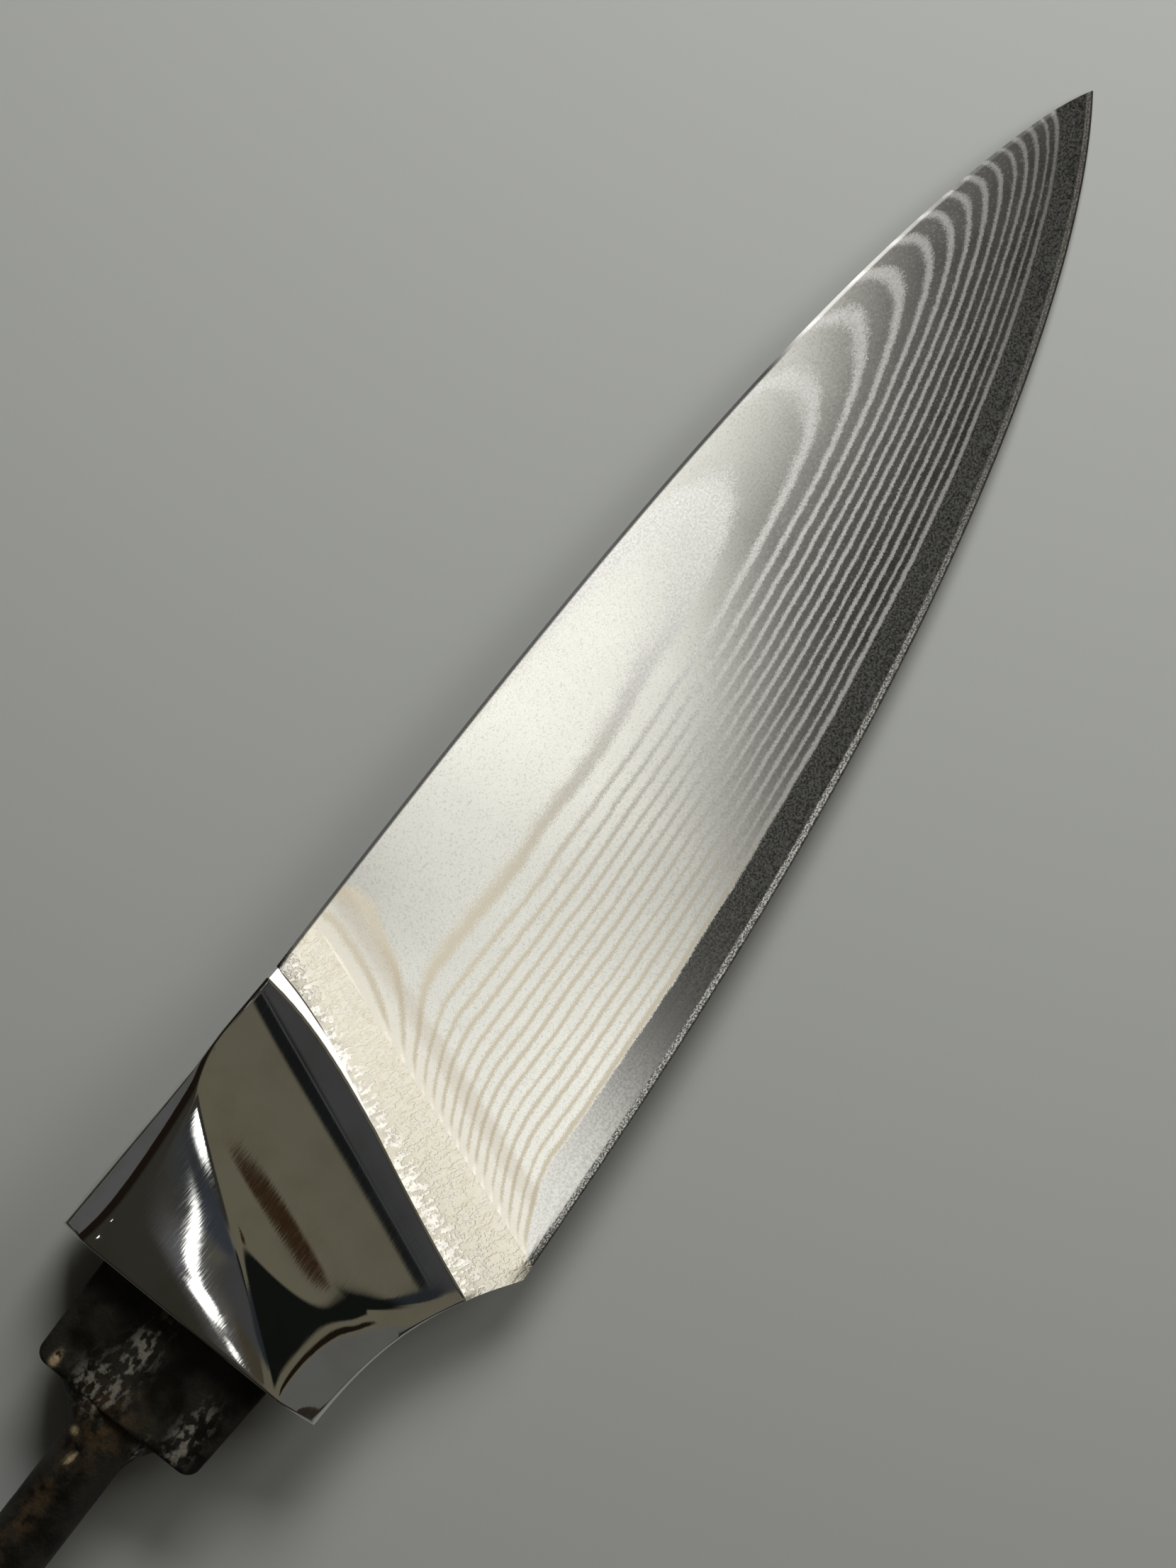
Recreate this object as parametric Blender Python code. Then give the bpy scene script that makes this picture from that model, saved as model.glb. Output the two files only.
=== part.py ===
"""Fruit knife blade: layered steel, welded to a polished bolster with a bare tang.

The knife lies on its side. X runs along it to the tip, Y to the spine and Z through the thickness.
It is drawn in millimetres, with zero at the middle of the bolster's rear face, and then placed so
that the origin is below the middle of the whole part, on the surface that it lies on.
"""
import math

import bmesh
import bpy
from mathutils import Matrix, Vector

MM = 0.001

# Blade outline, seen from the side
TIP_X = 94.7                # from the bolster's rear face to the tip
TIP_Y = 4.5                 # tip above the middle of the bolster
SPINE_RISE = 7.6            # how far the spine climbs behind the tip
SPINE_RUN = 22.0            # and over what length
SPINE_SLOPE = 0.036         # slow fall of the spine towards the bolster
EDGE_DROP = 20.7            # how far the cutting edge falls behind the tip
EDGE_RUN = 41.0             # and over what length
NOSE_SPINE = 0.5            # blunt nose of the tip, above it
NOSE_SPINE_RUN = 2.0
NOSE_EDGE = 1.25            # and below it
NOSE_EDGE_RUN = 5.0
HEEL_X = 14.9               # rear corner of the cutting edge

# Blade thickness, measured from the middle plane
CORE_HALF = 0.25            # half the core plate
SHEETS_A_SIDE = 27          # cladding sheets on each side of the core
BRIGHT_SHARE = 0.35         # a thin bright sheet's share of a pair of sheets
FLAT_RISE = 0.644           # from the core's face to the flat of the blade
TAPER_RUN = 12.0            # length over which the flat rises from the tip
LAND = 0.6                  # width of the land at the cutting edge
LAND_HALF = 0.14            # half thickness behind the land
BEVEL_SLOPE_TIP = 0.087     # slope of the bevel at the tip
BEVEL_SLOPE_HEEL = 0.05     # and at the heel
SHOULDER_ROUND = 0.083      # how softly the bevel runs into the flat
SPINE_CROWN = 0.023         # how much thinner the flat is at the spine
CROWN_DEPTH = 1.0           # how far below the spine that reaches
RAMP_RUN = 5.0              # radius in front of the weld seam: its length
RAMP_RISE = 0.106           # and its rise at the seam

# Weld seam, between the ends of the layers and the bolster's foot
SEAM_EDGE_X = 16.0          # where the layers end, at the cutting edge
SEAM_SPINE_X = 24.2         # and at the spine
FOOT_BELLY_X = 11.85        # where the bolster's foot meets its belly
FOOT_SPINE_X = 20.5         # and the spine
FOOT_SWING_DEPTH = 0.65     # sideways swing of the foot's line
FOOT_HALF = 1.2             # half thickness of the bolster at its foot

# Bolster
BOLSTER_HALF_HEIGHT = 10.0
BOLSTER_HALF_THICK = 4.7
BELLY_POWER = 2.5           # how suddenly the belly sweeps down to the heel
SPINE_STRIP = 1.8           # slanted strip along the spine: down the cheek, at the rear
SPINE_STRIP_END = 0.45      # the same at the foot
SPINE_STRIP_DEPTH = 2.1     # and across the spine
BELLY_STRIP = 3.2           # slanted strip along the belly: up the cheek, at the rear
BELLY_STRIP_END = 5.2       # the same at the foot
BELLY_STRIP_DEPTH = 2.4     # and across the belly
CREASE_X = 9.4              # front end of the cheek's crease, which starts at the rear corner
CREASE_Y = 5.7
CHEEK_FALL = math.radians(16.7)  # slant of the cheek below the crease
FRONT_X = 7.0               # point from where the cheek falls towards the blade and the spine
FRONT_Y = 4.0
FRONT_SLOPE = 0.22          # its slope towards the blade
FRONT_SIDE_SLOPE = 0.14     # and towards the spine
SCOOP_RADIUS = 17.5         # wheel that ground the hollow down to the blade
EDGE_BREAK = 0.15           # polished break of the outer edges

# Tang
BLOCK_LENGTH = 7.5          # from the bolster's rear face to the shoulders
BLOCK_HALF_HEIGHT = 6.5
BLOCK_HALF_THICK = 2.3
BLOCK_TAPER = 0.3           # how much each side draws in to the shoulders
BLOCK_CORNER = 0.9          # radius of the shoulders
BLOCK_SEAT = 3.0            # depth of its socket in the bolster
HUMP_RADIUS = 2.9           # forged hump that runs out on the block's faces
HUMP_LENGTH = 6.0
ROD_DIAMETER = 4.33
ROD_LENGTH = 81.6
ROD_Y = -0.31               # rod's centre where it leaves the weld bead
ROD_LEAN = math.radians(1.5)
ROD_CHAMFER = 0.5
BEAD_LENGTH = 2.9           # weld bead between the shoulders and the rod
BEAD_HALF_HEIGHT = 4.3      # at the shoulders
BEAD_Y = 0.55
BEAD_HALF_THICK = 2.25
BEAD_HOLLOW = 2.2           # how deeply the bead's sides curve in

# How finely the curves are divided
STATIONS = 15               # sections along the blade
RAMP_STATIONS = 3           # of them on the radius in front of the seam
ROWS = 9                    # points across a section
SEAM_COLUMNS = 3
BELLY_STEPS = 6
WHEEL_SIDES = 120
ROD_SIDES = 20
BEAD_RINGS = 4
CORNER_STEPS = 4

STEELS = {
    # name: colour, roughness, metallic
    "bright_steel": ((0.78, 0.77, 0.74), 0.22, 1.0),
    "dark_steel": ((0.16, 0.155, 0.14), 0.45, 1.0),
    "core_steel": ((0.10, 0.10, 0.09), 0.50, 1.0),
    "seam_steel": ((0.62, 0.60, 0.55), 0.35, 1.0),
    "polished_steel": ((0.80, 0.80, 0.81), 0.05, 1.0),
    "scaled_steel": ((0.035, 0.030, 0.026), 0.65, 0.6),
}
SAME_POINT = 1e-7
ON_EDGE = 1e-4


def clear_scene():
    for obj in list(bpy.data.objects):
        bpy.data.objects.remove(obj, do_unlink=True)


def make_collection(name):
    collection = bpy.data.collections.new(name)
    bpy.context.scene.collection.children.link(collection)
    return collection


def steel(name):
    material = bpy.data.materials.get(name)
    if material is None:
        colour, roughness, metallic = STEELS[name]
        material = bpy.data.materials.new(name)
        material.use_nodes = True
        shader = material.node_tree.nodes["Principled BSDF"]
        shader.inputs["Base Color"].default_value = (*colour, 1.0)
        shader.inputs["Roughness"].default_value = roughness
        shader.inputs["Metallic"].default_value = metallic
        material.diffuse_color = (*colour, 1.0)
    return material


def add_mesh(name, mesh, frame, collection, finish=None):
    """Put a mesh in the scene, as a part with its steel or, without one, as a cutter."""
    obj = bpy.data.objects.new(name, mesh)
    collection.objects.link(obj)
    obj.parent = frame
    if finish:
        mesh.materials.append(steel(finish))
    else:
        obj.hide_render = True
        obj.display_type = "WIRE"
    return obj


def mesh_from(name, bm):
    """Finish a bmesh that was drawn in millimetres."""
    bmesh.ops.scale(bm, vec=(MM, MM, MM), verts=bm.verts)
    mesh = bpy.data.meshes.new(name)
    bm.to_mesh(mesh)
    bm.free()
    return mesh


def combine(obj, cutter, operation):
    modifier = obj.modifiers.new(cutter.name, "BOOLEAN")
    modifier.object = cutter
    modifier.operation = operation
    modifier.solver = "EXACT"


# Outlines and ground surface of the blade


def edge_y(x):
    back = TIP_X - x
    nose = NOSE_EDGE * (1 - math.exp(-back / NOSE_EDGE_RUN))
    return TIP_Y - EDGE_DROP * (1 - math.exp(-back / EDGE_RUN)) - nose


def spine_y(x):
    back = TIP_X - x
    nose = NOSE_SPINE * (1 - math.exp(-back / NOSE_SPINE_RUN))
    return TIP_Y + SPINE_RISE * (1 - math.exp(-back / SPINE_RUN)) - SPINE_SLOPE * back + nose


def belly_y(x):
    """Bolster's belly, which sweeps down into the heel of the blade."""
    sweep = -BOLSTER_HALF_HEIGHT - edge_y(HEEL_X)
    return -BOLSTER_HALF_HEIGHT - sweep * (x / HEEL_X) ** BELLY_POWER


def on_edge(x):
    return Vector((x, edge_y(x)))


def on_spine(x):
    return Vector((x, spine_y(x)))


def ahead_of_seam(x, y):
    """Distance in front of the line where the layers end."""
    low, high = on_edge(SEAM_EDGE_X), on_spine(SEAM_SPINE_X)
    along = (high - low).normalized()
    return (x - low.x) * along.y - (y - low.y) * along.x


def half_thickness(x, y):
    """Ground surface of the blade above its middle plane."""
    back = TIP_X - x
    height = y - edge_y(x)
    if height < ON_EDGE:
        return 0.0
    rear = back / (TIP_X - HEEL_X)
    slope = BEVEL_SLOPE_TIP * (BEVEL_SLOPE_HEEL / BEVEL_SLOPE_TIP) ** rear
    bevel = LAND_HALF + max(height - LAND, 0) * slope
    flat = CORE_HALF + FLAT_RISE * (1 - math.exp(-back / TAPER_RUN))
    both = math.exp(-bevel / SHOULDER_ROUND) + math.exp(-flat / SHOULDER_ROUND)
    crown = SPINE_CROWN * math.exp(-(spine_y(x) - y) / CROWN_DEPTH)
    near = max(RAMP_RUN - ahead_of_seam(x, y), 0) / RAMP_RUN
    surface = RAMP_RISE * near ** 2 - SHOULDER_ROUND * math.log(both) - crown
    return min(height / LAND, 1) * surface


def row_shares(length):
    """Places across a section from the edge to the spine: the land first, then even steps."""
    land = min(LAND / length, 0.25)
    return [0.0] + [land + (1 - land) * k / (ROWS - 2) for k in range(ROWS - 1)]


def blade_columns():
    """Sections from the seam to the tip, close together on the radius and at the tip."""
    low, high = on_edge(SEAM_EDGE_X), on_spine(SEAM_SPINE_X)
    ramp = RAMP_RUN / (TIP_X - high.x)
    rest = STATIONS - RAMP_STATIONS
    shares = [ramp * k / RAMP_STATIONS for k in range(RAMP_STATIONS)]
    shares += [ramp + (1 - ramp) * math.sin(math.pi / 2 * k / rest) for k in range(rest)]
    columns = []
    for share in shares:
        start = on_edge(low.x + (TIP_X - low.x) * share)
        end = on_spine(high.x + (TIP_X - high.x) * share)
        points = [start.lerp(end, row) for row in row_shares((end - start).length)]
        columns.append([(p.x, p.y, half_thickness(p.x, p.y)) for p in points])
    columns.append([(TIP_X, TIP_Y, 0.0)] * ROWS)
    return columns


def foot_point(share):
    """Bolster's foot, from the belly to the spine: a chord with a gentle swing in its upper half."""
    low = Vector((FOOT_BELLY_X, belly_y(FOOT_BELLY_X)))
    point = low.lerp(on_spine(FOOT_SPINE_X), share)
    widest = 3 ** 3 / 4 ** 4
    point.x += FOOT_SWING_DEPTH * share ** 3 * (1 - share) / widest
    return point


def facet_planes():
    """Facets of the bolster's upper cheek, each as a point and an outward normal."""
    half, thick = BOLSTER_HALF_HEIGHT, BOLSTER_HALF_THICK
    spine, belly = half - SPINE_STRIP, -half + BELLY_STRIP
    low, high = foot_point(0), foot_point(1)
    away = Vector((CREASE_Y - belly, -CREASE_X, 0)).normalized()
    fallen = Vector((0, belly, thick)) + away - Vector((0, 0, math.tan(CHEEK_FALL)))
    triples = [
        ((0, spine, thick), (high.x, high.y - SPINE_STRIP_END, thick),
         (0, half, thick - SPINE_STRIP_DEPTH)),
        ((low.x, low.y + BELLY_STRIP_END, thick), (0, belly, thick),
         (0, -half, thick - BELLY_STRIP_DEPTH)),
        ((CREASE_X, CREASE_Y, thick), (0, belly, thick), fallen),
        ((FRONT_X, FRONT_Y, thick), (0, FRONT_Y, thick + FRONT_SLOPE * FRONT_X),
         (FRONT_X, 0, thick + FRONT_SIDE_SLOPE * FRONT_Y)),
    ]
    planes = []
    for a, b, c in (map(Vector, triple) for triple in triples):
        planes.append((a, (b - a).cross(c - a).normalized()))
    return planes


def foot_height(x, y):
    """Half thickness at the bolster's foot, where the belly's facets may reach below the hollow."""
    heights = [FOOT_HALF]
    for point, normal in facet_planes():
        heights.append(point.z - (normal.x * (x - point.x) + normal.y * (y - point.y)) / normal.z)
    return min(heights)


def seam_columns(ends_of_layers):
    """Sections from the bolster's foot to the ends of the layers."""
    low, high = on_edge(SEAM_EDGE_X), on_spine(SEAM_SPINE_X)
    shares = row_shares((high - low).length)
    columns = []
    for k in range(SEAM_COLUMNS):
        part = k / SEAM_COLUMNS
        column = []
        for row, share in enumerate(shares):
            point = foot_point(share).lerp(low.lerp(high, share), part)
            if row == 0:
                point.x = FOOT_BELLY_X + (HEEL_X - FOOT_BELLY_X) * k / (SEAM_COLUMNS - 1)
                point.y = belly_y(point.x)
            elif row == ROWS - 1:
                point.y = spine_y(point.x)
            blade = half_thickness(point.x, point.y)
            foot = foot_height(*foot_point(share))
            column.append((point.x, point.y, blade + (foot - blade) * (1 - part) ** 2))
        columns.append(column)
    return columns + [ends_of_layers]


def lens_mesh(name, columns):
    """Closed body between a surface, given as columns of points, and its mirror image."""
    across, up = len(columns), len(columns[0])
    bm = bmesh.new()
    bmesh.ops.create_grid(bm, x_segments=across - 1, y_segments=up - 1, size=1.0)
    bm.verts.ensure_lookup_table()
    for row in range(up):
        for column in range(across):
            bm.verts[row * across + column].co = columns[column][row]
    rim = [e for e in bm.edges if e.is_boundary and max(v.co.z for v in e.verts) > 0]
    wall = bmesh.ops.extrude_edge_only(bm, edges=rim)["geom"]
    for vert in (item for item in wall if isinstance(item, bmesh.types.BMVert)):
        vert.co.z = 0.0
    bmesh.ops.remove_doubles(bm, verts=bm.verts, dist=SAME_POINT)
    bmesh.ops.triangulate(bm, faces=bm.faces)
    upper = bm.verts[:] + bm.edges[:] + bm.faces[:]
    bmesh.ops.mirror(bm, geom=upper, axis="Z", merge_dist=SAME_POINT)
    bmesh.ops.remove_doubles(bm, verts=bm.verts, dist=SAME_POINT)
    bmesh.ops.recalc_face_normals(bm, faces=bm.faces)
    return mesh_from(name, bm)


# Layers of the blade


def sheet_levels(columns):
    """Heights of the faces between the sheets, from the core's face to the thickest point."""
    thickest = max(point[2] for column in columns for point in column)
    pairs = (SHEETS_A_SIDE + 1) / 2
    pair = (thickest - CORE_HALF) / pairs
    levels = [CORE_HALF]
    for k in range(SHEETS_A_SIDE):
        levels.append(levels[-1] + pair * (BRIGHT_SHARE if k % 2 == 0 else 1 - BRIGHT_SHARE))
    return levels


def slab(name, low, high, frame, cutters):
    """Flat layer that is wider than the blade."""
    bm = bmesh.new()
    bmesh.ops.create_cube(bm, size=1.0)
    middle = Vector((TIP_X / 2, 0, (low + high) / 2))
    bmesh.ops.scale(bm, vec=(TIP_X * 2, TIP_X * 2, high - low), verts=bm.verts)
    bmesh.ops.translate(bm, vec=middle, verts=bm.verts)
    return add_mesh(name, mesh_from(name, bm), frame, cutters)


def layered_blade(columns, frame, parts, cutters):
    """Core plate and cladding sheets: flat plates, all ground to the blade's one surface."""
    ground = lens_mesh("ground_blade", columns)
    levels = sheet_levels(columns)
    layers = [("core_plate", -CORE_HALF, CORE_HALF, "core_steel")]
    for k in range(SHEETS_A_SIDE):
        kind = "bright" if k % 2 == 0 else "dark"
        low = levels[k]
        high = levels[k + 1] if k < SHEETS_A_SIDE - 1 else BOLSTER_HALF_THICK
        layers.append((f"sheet_front_{k + 1:02d}_{kind}", low, high, f"{kind}_steel"))
        layers.append((f"sheet_back_{k + 1:02d}_{kind}", -high, -low, f"{kind}_steel"))
    for name, low, high, finish in layers:
        sheet = add_mesh(name, ground.copy(), frame, parts, finish)
        combine(sheet, slab(f"{name}_slab", low, high, frame, cutters), "INTERSECT")


# Bolster


def plate_mesh(name, outline, half):
    """Flat outline with a thickness, made with a filled curve."""
    curve = bpy.data.curves.new(name, "CURVE")
    curve.dimensions = "2D"
    curve.fill_mode = "BOTH"
    curve.extrude = half * MM
    spline = curve.splines.new("POLY")
    spline.points.add(len(outline) - 1)
    for point, (x, y) in zip(spline.points, outline):
        point.co = (x * MM, y * MM, 0, 1)
    spline.use_cyclic_u = True
    obj = bpy.data.objects.new(name, curve)
    bpy.context.scene.collection.objects.link(obj)
    evaluated = obj.evaluated_get(bpy.context.evaluated_depsgraph_get())
    mesh = bpy.data.meshes.new_from_object(evaluated)
    bpy.data.objects.remove(obj, do_unlink=True)
    bpy.data.curves.remove(curve)
    bm = bmesh.new()
    bm.from_mesh(mesh)
    bmesh.ops.remove_doubles(bm, verts=bm.verts, dist=SAME_POINT)
    bmesh.ops.dissolve_limit(bm, angle_limit=math.radians(0.1), verts=bm.verts, edges=bm.edges)
    bmesh.ops.recalc_face_normals(bm, faces=bm.faces)
    bmesh.ops.scale(bm, vec=(1 / MM, 1 / MM, 1 / MM), verts=bm.verts)
    bpy.data.meshes.remove(mesh)
    return bm


def shave(bm, point, normal):
    """Cut off what lies outside a plane."""
    whole = bm.verts[:] + bm.edges[:] + bm.faces[:]
    cut = bmesh.ops.bisect_plane(bm, geom=whole, dist=ON_EDGE, plane_co=point, plane_no=normal,
                                 clear_outer=True)
    rim = [item for item in cut["geom_cut"] if isinstance(item, bmesh.types.BMEdge)]
    bmesh.ops.holes_fill(bm, edges=rim, sides=0)


def bolster_outline():
    low, high = on_edge(SEAM_EDGE_X), on_spine(SEAM_SPINE_X)
    foot = [foot_point(share) for share in row_shares((high - low).length)]
    belly = [Vector((x, belly_y(x))) for x in
             (FOOT_BELLY_X * k / BELLY_STEPS for k in range(BELLY_STEPS))]
    return [(0.0, BOLSTER_HALF_HEIGHT)] + belly + foot


def bolster(block, frame, parts, cutters):
    """Block ground with four facets a side, then hollowed down to the blade."""
    bm = plate_mesh("bolster", bolster_outline(), BOLSTER_HALF_THICK)
    for point, normal in facet_planes():
        for side in (1, -1):
            flip = Vector((1, 1, side))
            shave(bm, point * flip, normal * flip)
    outer = [e for e in bm.edges if max(v.co.x for v in e.verts) < FOOT_BELLY_X
             or min(v.co.x for v in e.verts) < FRONT_X + ON_EDGE]
    sharp = [e for e in outer if e.calc_face_angle(0) > math.radians(15)]
    bmesh.ops.bevel(bm, geom=sharp, offset=EDGE_BREAK, segments=1, profile=0.5, affect="EDGES")
    body = add_mesh("bolster", mesh_from("bolster", bm), frame, parts, "polished_steel")
    foot_low, foot_high = foot_point(0), foot_point(1)
    run = foot_high - foot_low
    for side, name in ((1, "scoop_front"), (-1, "scoop_back")):
        wheel = bmesh.new()
        bmesh.ops.create_cone(wheel, cap_ends=True, segments=WHEEL_SIDES, radius1=SCOOP_RADIUS,
                              radius2=SCOOP_RADIUS, depth=run.length * 2)
        bmesh.ops.rotate(wheel, matrix=Matrix.Rotation(math.pi / 2, 3, "Y"), verts=wheel.verts)
        turn = Matrix.Rotation(math.atan2(run.y, run.x), 3, "Z")
        bmesh.ops.rotate(wheel, matrix=turn, verts=wheel.verts)
        middle = (foot_low + foot_high) / 2
        place = (middle.x, middle.y, side * (FOOT_HALF + SCOOP_RADIUS))
        bmesh.ops.translate(wheel, vec=place, verts=wheel.verts)
        combine(body, add_mesh(name, mesh_from(name, wheel), frame, cutters), "DIFFERENCE")
    combine(body, block, "DIFFERENCE")


# Tang


def corner_arc(x, y, start):
    """Quarter turn round the block's corner, anticlockwise from a given angle."""
    steps = [start + math.pi / 2 * k / CORNER_STEPS for k in range(CORNER_STEPS + 1)]
    return [(x + BLOCK_CORNER * math.cos(a), y + BLOCK_CORNER * math.sin(a)) for a in steps]


def tang_block(frame, parts, cutters):
    """Flat bar let into the bolster, with a forged hump that runs out on its faces."""
    half, drawn = BLOCK_HALF_HEIGHT, BLOCK_HALF_HEIGHT - BLOCK_TAPER - BLOCK_CORNER
    centre = -BLOCK_LENGTH + BLOCK_CORNER
    outline = [(0.0, half)]
    outline += corner_arc(centre, drawn, math.pi / 2)
    outline += corner_arc(centre, -drawn, math.pi)
    outline += [(0.0, -half), (BLOCK_SEAT, -half), (BLOCK_SEAT, half)]
    block = add_mesh("tang_block", mesh_from("tang_block", plate_mesh("tang_block", outline,
                     BLOCK_HALF_THICK)), frame, parts, "scaled_steel")
    hump = bmesh.new()
    bmesh.ops.create_cone(hump, cap_ends=True, segments=ROD_SIDES, radius1=HUMP_RADIUS,
                          radius2=BLOCK_HALF_THICK * 0.9, depth=HUMP_LENGTH)
    bmesh.ops.rotate(hump, matrix=Matrix.Rotation(math.pi / 2, 3, "Y"), verts=hump.verts)
    place = (-BLOCK_LENGTH + HUMP_LENGTH / 2, ROD_Y, 0)
    bmesh.ops.translate(hump, vec=place, verts=hump.verts)
    combine(block, add_mesh("hump", mesh_from("hump", hump), frame, cutters), "UNION")
    return block


def ring(bm, half_height, half_thick):
    made = bmesh.ops.create_circle(bm, segments=ROD_SIDES, radius=1.0)["verts"]
    bmesh.ops.scale(bm, vec=(half_height, half_thick, 1), verts=made)
    return made


def weld_bead(frame, parts):
    """Hollow-sided neck between the block's shoulders and the rod: rings joined to each other."""
    radius = ROD_DIAMETER / 2
    bm = bmesh.new()
    rings = []
    for k in range(BEAD_RINGS + 1):
        share = k / BEAD_RINGS
        wide = (1 - share) ** BEAD_HOLLOW
        made = ring(bm, radius + (BEAD_HALF_HEIGHT - radius) * wide,
                    radius + (BEAD_HALF_THICK - radius) * wide)
        turn = Matrix.Rotation(ROD_LEAN * share, 3, "Z") @ Matrix.Rotation(math.pi / 2, 3, "Y")
        turn = turn @ Matrix.Rotation(math.pi / 2, 3, "Z")
        bmesh.ops.rotate(bm, matrix=turn, verts=made)
        place = (-BLOCK_LENGTH - BEAD_LENGTH * share, ROD_Y + (BEAD_Y - ROD_Y) * wide, 0)
        bmesh.ops.translate(bm, vec=place, verts=made)
        rings.append(made)
    for loop in rings:
        bm.edges.ensure_lookup_table()
    edges = [[e for e in bm.edges if set(e.verts) <= set(loop)] for loop in rings]
    for near, far in zip(edges, edges[1:]):
        bmesh.ops.bridge_loops(bm, edges=near + far)
    bmesh.ops.contextual_create(bm, geom=edges[0])
    bmesh.ops.contextual_create(bm, geom=edges[-1])
    bmesh.ops.recalc_face_normals(bm, faces=bm.faces)
    add_mesh("tang_weld_bead", mesh_from("tang_weld_bead", bm), frame, parts, "scaled_steel")


def tang_rod(frame, parts):
    """Round bar with a chamfered end, leaning a little to the belly."""
    radius = ROD_DIAMETER / 2
    bm = bmesh.new()
    bmesh.ops.create_cone(bm, cap_ends=True, segments=ROD_SIDES, radius1=radius, radius2=radius,
                          depth=ROD_LENGTH)
    bmesh.ops.translate(bm, vec=(0, 0, -ROD_LENGTH / 2), verts=bm.verts)
    far = [e for e in bm.edges if all(v.co.z < -ROD_LENGTH / 2 for v in e.verts)]
    bmesh.ops.bevel(bm, geom=far, offset=ROD_CHAMFER, segments=1, profile=0.5, affect="EDGES",
                    material=-1)
    turn = Matrix.Rotation(ROD_LEAN, 3, "Z") @ Matrix.Rotation(math.pi / 2, 3, "Y")
    bmesh.ops.rotate(bm, matrix=turn, verts=bm.verts)
    place = (-BLOCK_LENGTH - BEAD_LENGTH, ROD_Y, 0)
    bmesh.ops.translate(bm, vec=place, verts=bm.verts)
    add_mesh("tang_rod", mesh_from("tang_rod", bm), frame, parts, "scaled_steel")


def stand_on_origin(frame, parts):
    """Move the whole part so that the origin is below its middle, on what it lies on."""
    graph = bpy.context.evaluated_depsgraph_get()
    points = []
    for obj in parts.objects:
        points += [v.co.copy() for v in obj.evaluated_get(graph).data.vertices]
    low = Vector([min(p[axis] for p in points) for axis in range(3)])
    high = Vector([max(p[axis] for p in points) for axis in range(3)])
    frame.location = (-(low.x + high.x) / 2, -(low.y + high.y) / 2, -low.z)
    print("size in mm", [round(side / MM, 3) for side in high - low])
    print("bolster's rear face in mm", [round(side / MM, 3) for side in frame.location])


def main():
    clear_scene()
    parts = make_collection("fruit_knife")
    cutters = make_collection("cutters")
    frame = bpy.data.objects.new("bolster_rear_face", None)
    bpy.context.scene.collection.objects.link(frame)
    columns = blade_columns()
    layered_blade(columns, frame, parts, cutters)
    seam = lens_mesh("weld_seam", seam_columns(columns[0]))
    add_mesh("weld_seam", seam, frame, parts, "seam_steel")
    block = tang_block(frame, parts, cutters)
    bolster(block, frame, parts, cutters)
    weld_bead(frame, parts)
    tang_rod(frame, parts)
    stand_on_origin(frame, parts)


main()
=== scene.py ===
# %% [markdown]
# A small layered-steel knife blade with a polished bolster and a bare, black tang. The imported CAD
# model is loaded first and never changed. Every piece below is drawn around it, in the same place,
# and stands for one or more of its nodes.

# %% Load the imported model
import math

import bmesh
import bpy
from mathutils import Matrix, Vector, noise


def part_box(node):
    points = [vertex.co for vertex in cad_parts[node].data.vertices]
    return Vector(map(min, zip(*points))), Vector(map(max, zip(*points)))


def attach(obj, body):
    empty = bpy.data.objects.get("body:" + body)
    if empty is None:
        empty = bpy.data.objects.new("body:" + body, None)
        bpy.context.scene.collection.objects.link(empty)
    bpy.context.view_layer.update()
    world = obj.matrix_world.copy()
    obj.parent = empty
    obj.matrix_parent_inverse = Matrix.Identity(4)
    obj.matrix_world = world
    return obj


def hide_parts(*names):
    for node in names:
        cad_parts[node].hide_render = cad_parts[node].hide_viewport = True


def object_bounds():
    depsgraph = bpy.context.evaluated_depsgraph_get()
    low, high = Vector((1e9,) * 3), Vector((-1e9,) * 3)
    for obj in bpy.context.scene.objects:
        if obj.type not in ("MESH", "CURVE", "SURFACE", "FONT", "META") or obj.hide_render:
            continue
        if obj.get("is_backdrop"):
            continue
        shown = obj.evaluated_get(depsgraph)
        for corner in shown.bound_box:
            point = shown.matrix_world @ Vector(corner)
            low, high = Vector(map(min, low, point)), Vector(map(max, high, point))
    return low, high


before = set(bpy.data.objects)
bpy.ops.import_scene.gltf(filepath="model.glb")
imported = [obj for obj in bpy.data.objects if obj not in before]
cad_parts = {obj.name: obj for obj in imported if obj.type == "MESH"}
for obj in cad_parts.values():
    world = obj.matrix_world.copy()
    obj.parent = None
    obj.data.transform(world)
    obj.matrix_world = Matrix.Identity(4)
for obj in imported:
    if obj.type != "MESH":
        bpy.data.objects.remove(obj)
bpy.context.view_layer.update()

# %% [markdown]
# All lengths are in millimetres and are measured from the middle of the bolster's rear face, with X
# towards the tip, Y towards the spine and Z through the thickness. The CAD's own boxes say where that
# point lies, so a piece can't drift away from the node that it stands for.

# %% The point that everything is measured from
MM = 0.001
BOLSTER_HALF_HEIGHT = 10.0
bolster_low, bolster_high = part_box("bolster")
REAR = Vector((bolster_low.x, bolster_high.y - BOLSTER_HALF_HEIGHT * MM,
               (bolster_low.z + bolster_high.z) / 2))


def place(x, y, z):
    """A point in metres in the model's frame, from millimetres."""
    return REAR + Vector((x, y, z)) * MM


print("rear face at", [round(value / MM, 3) for value in REAR])

# %% [markdown]
# The photograph was taken from straight above, with the knife turned 51 degrees. An orthographic
# camera would flatten every reflection, and a wide lens would swell the thick bolster. A camera 35 cm
# up with a lens to match keeps bolster and blade at one scale and still lets reflections wander.

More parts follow.
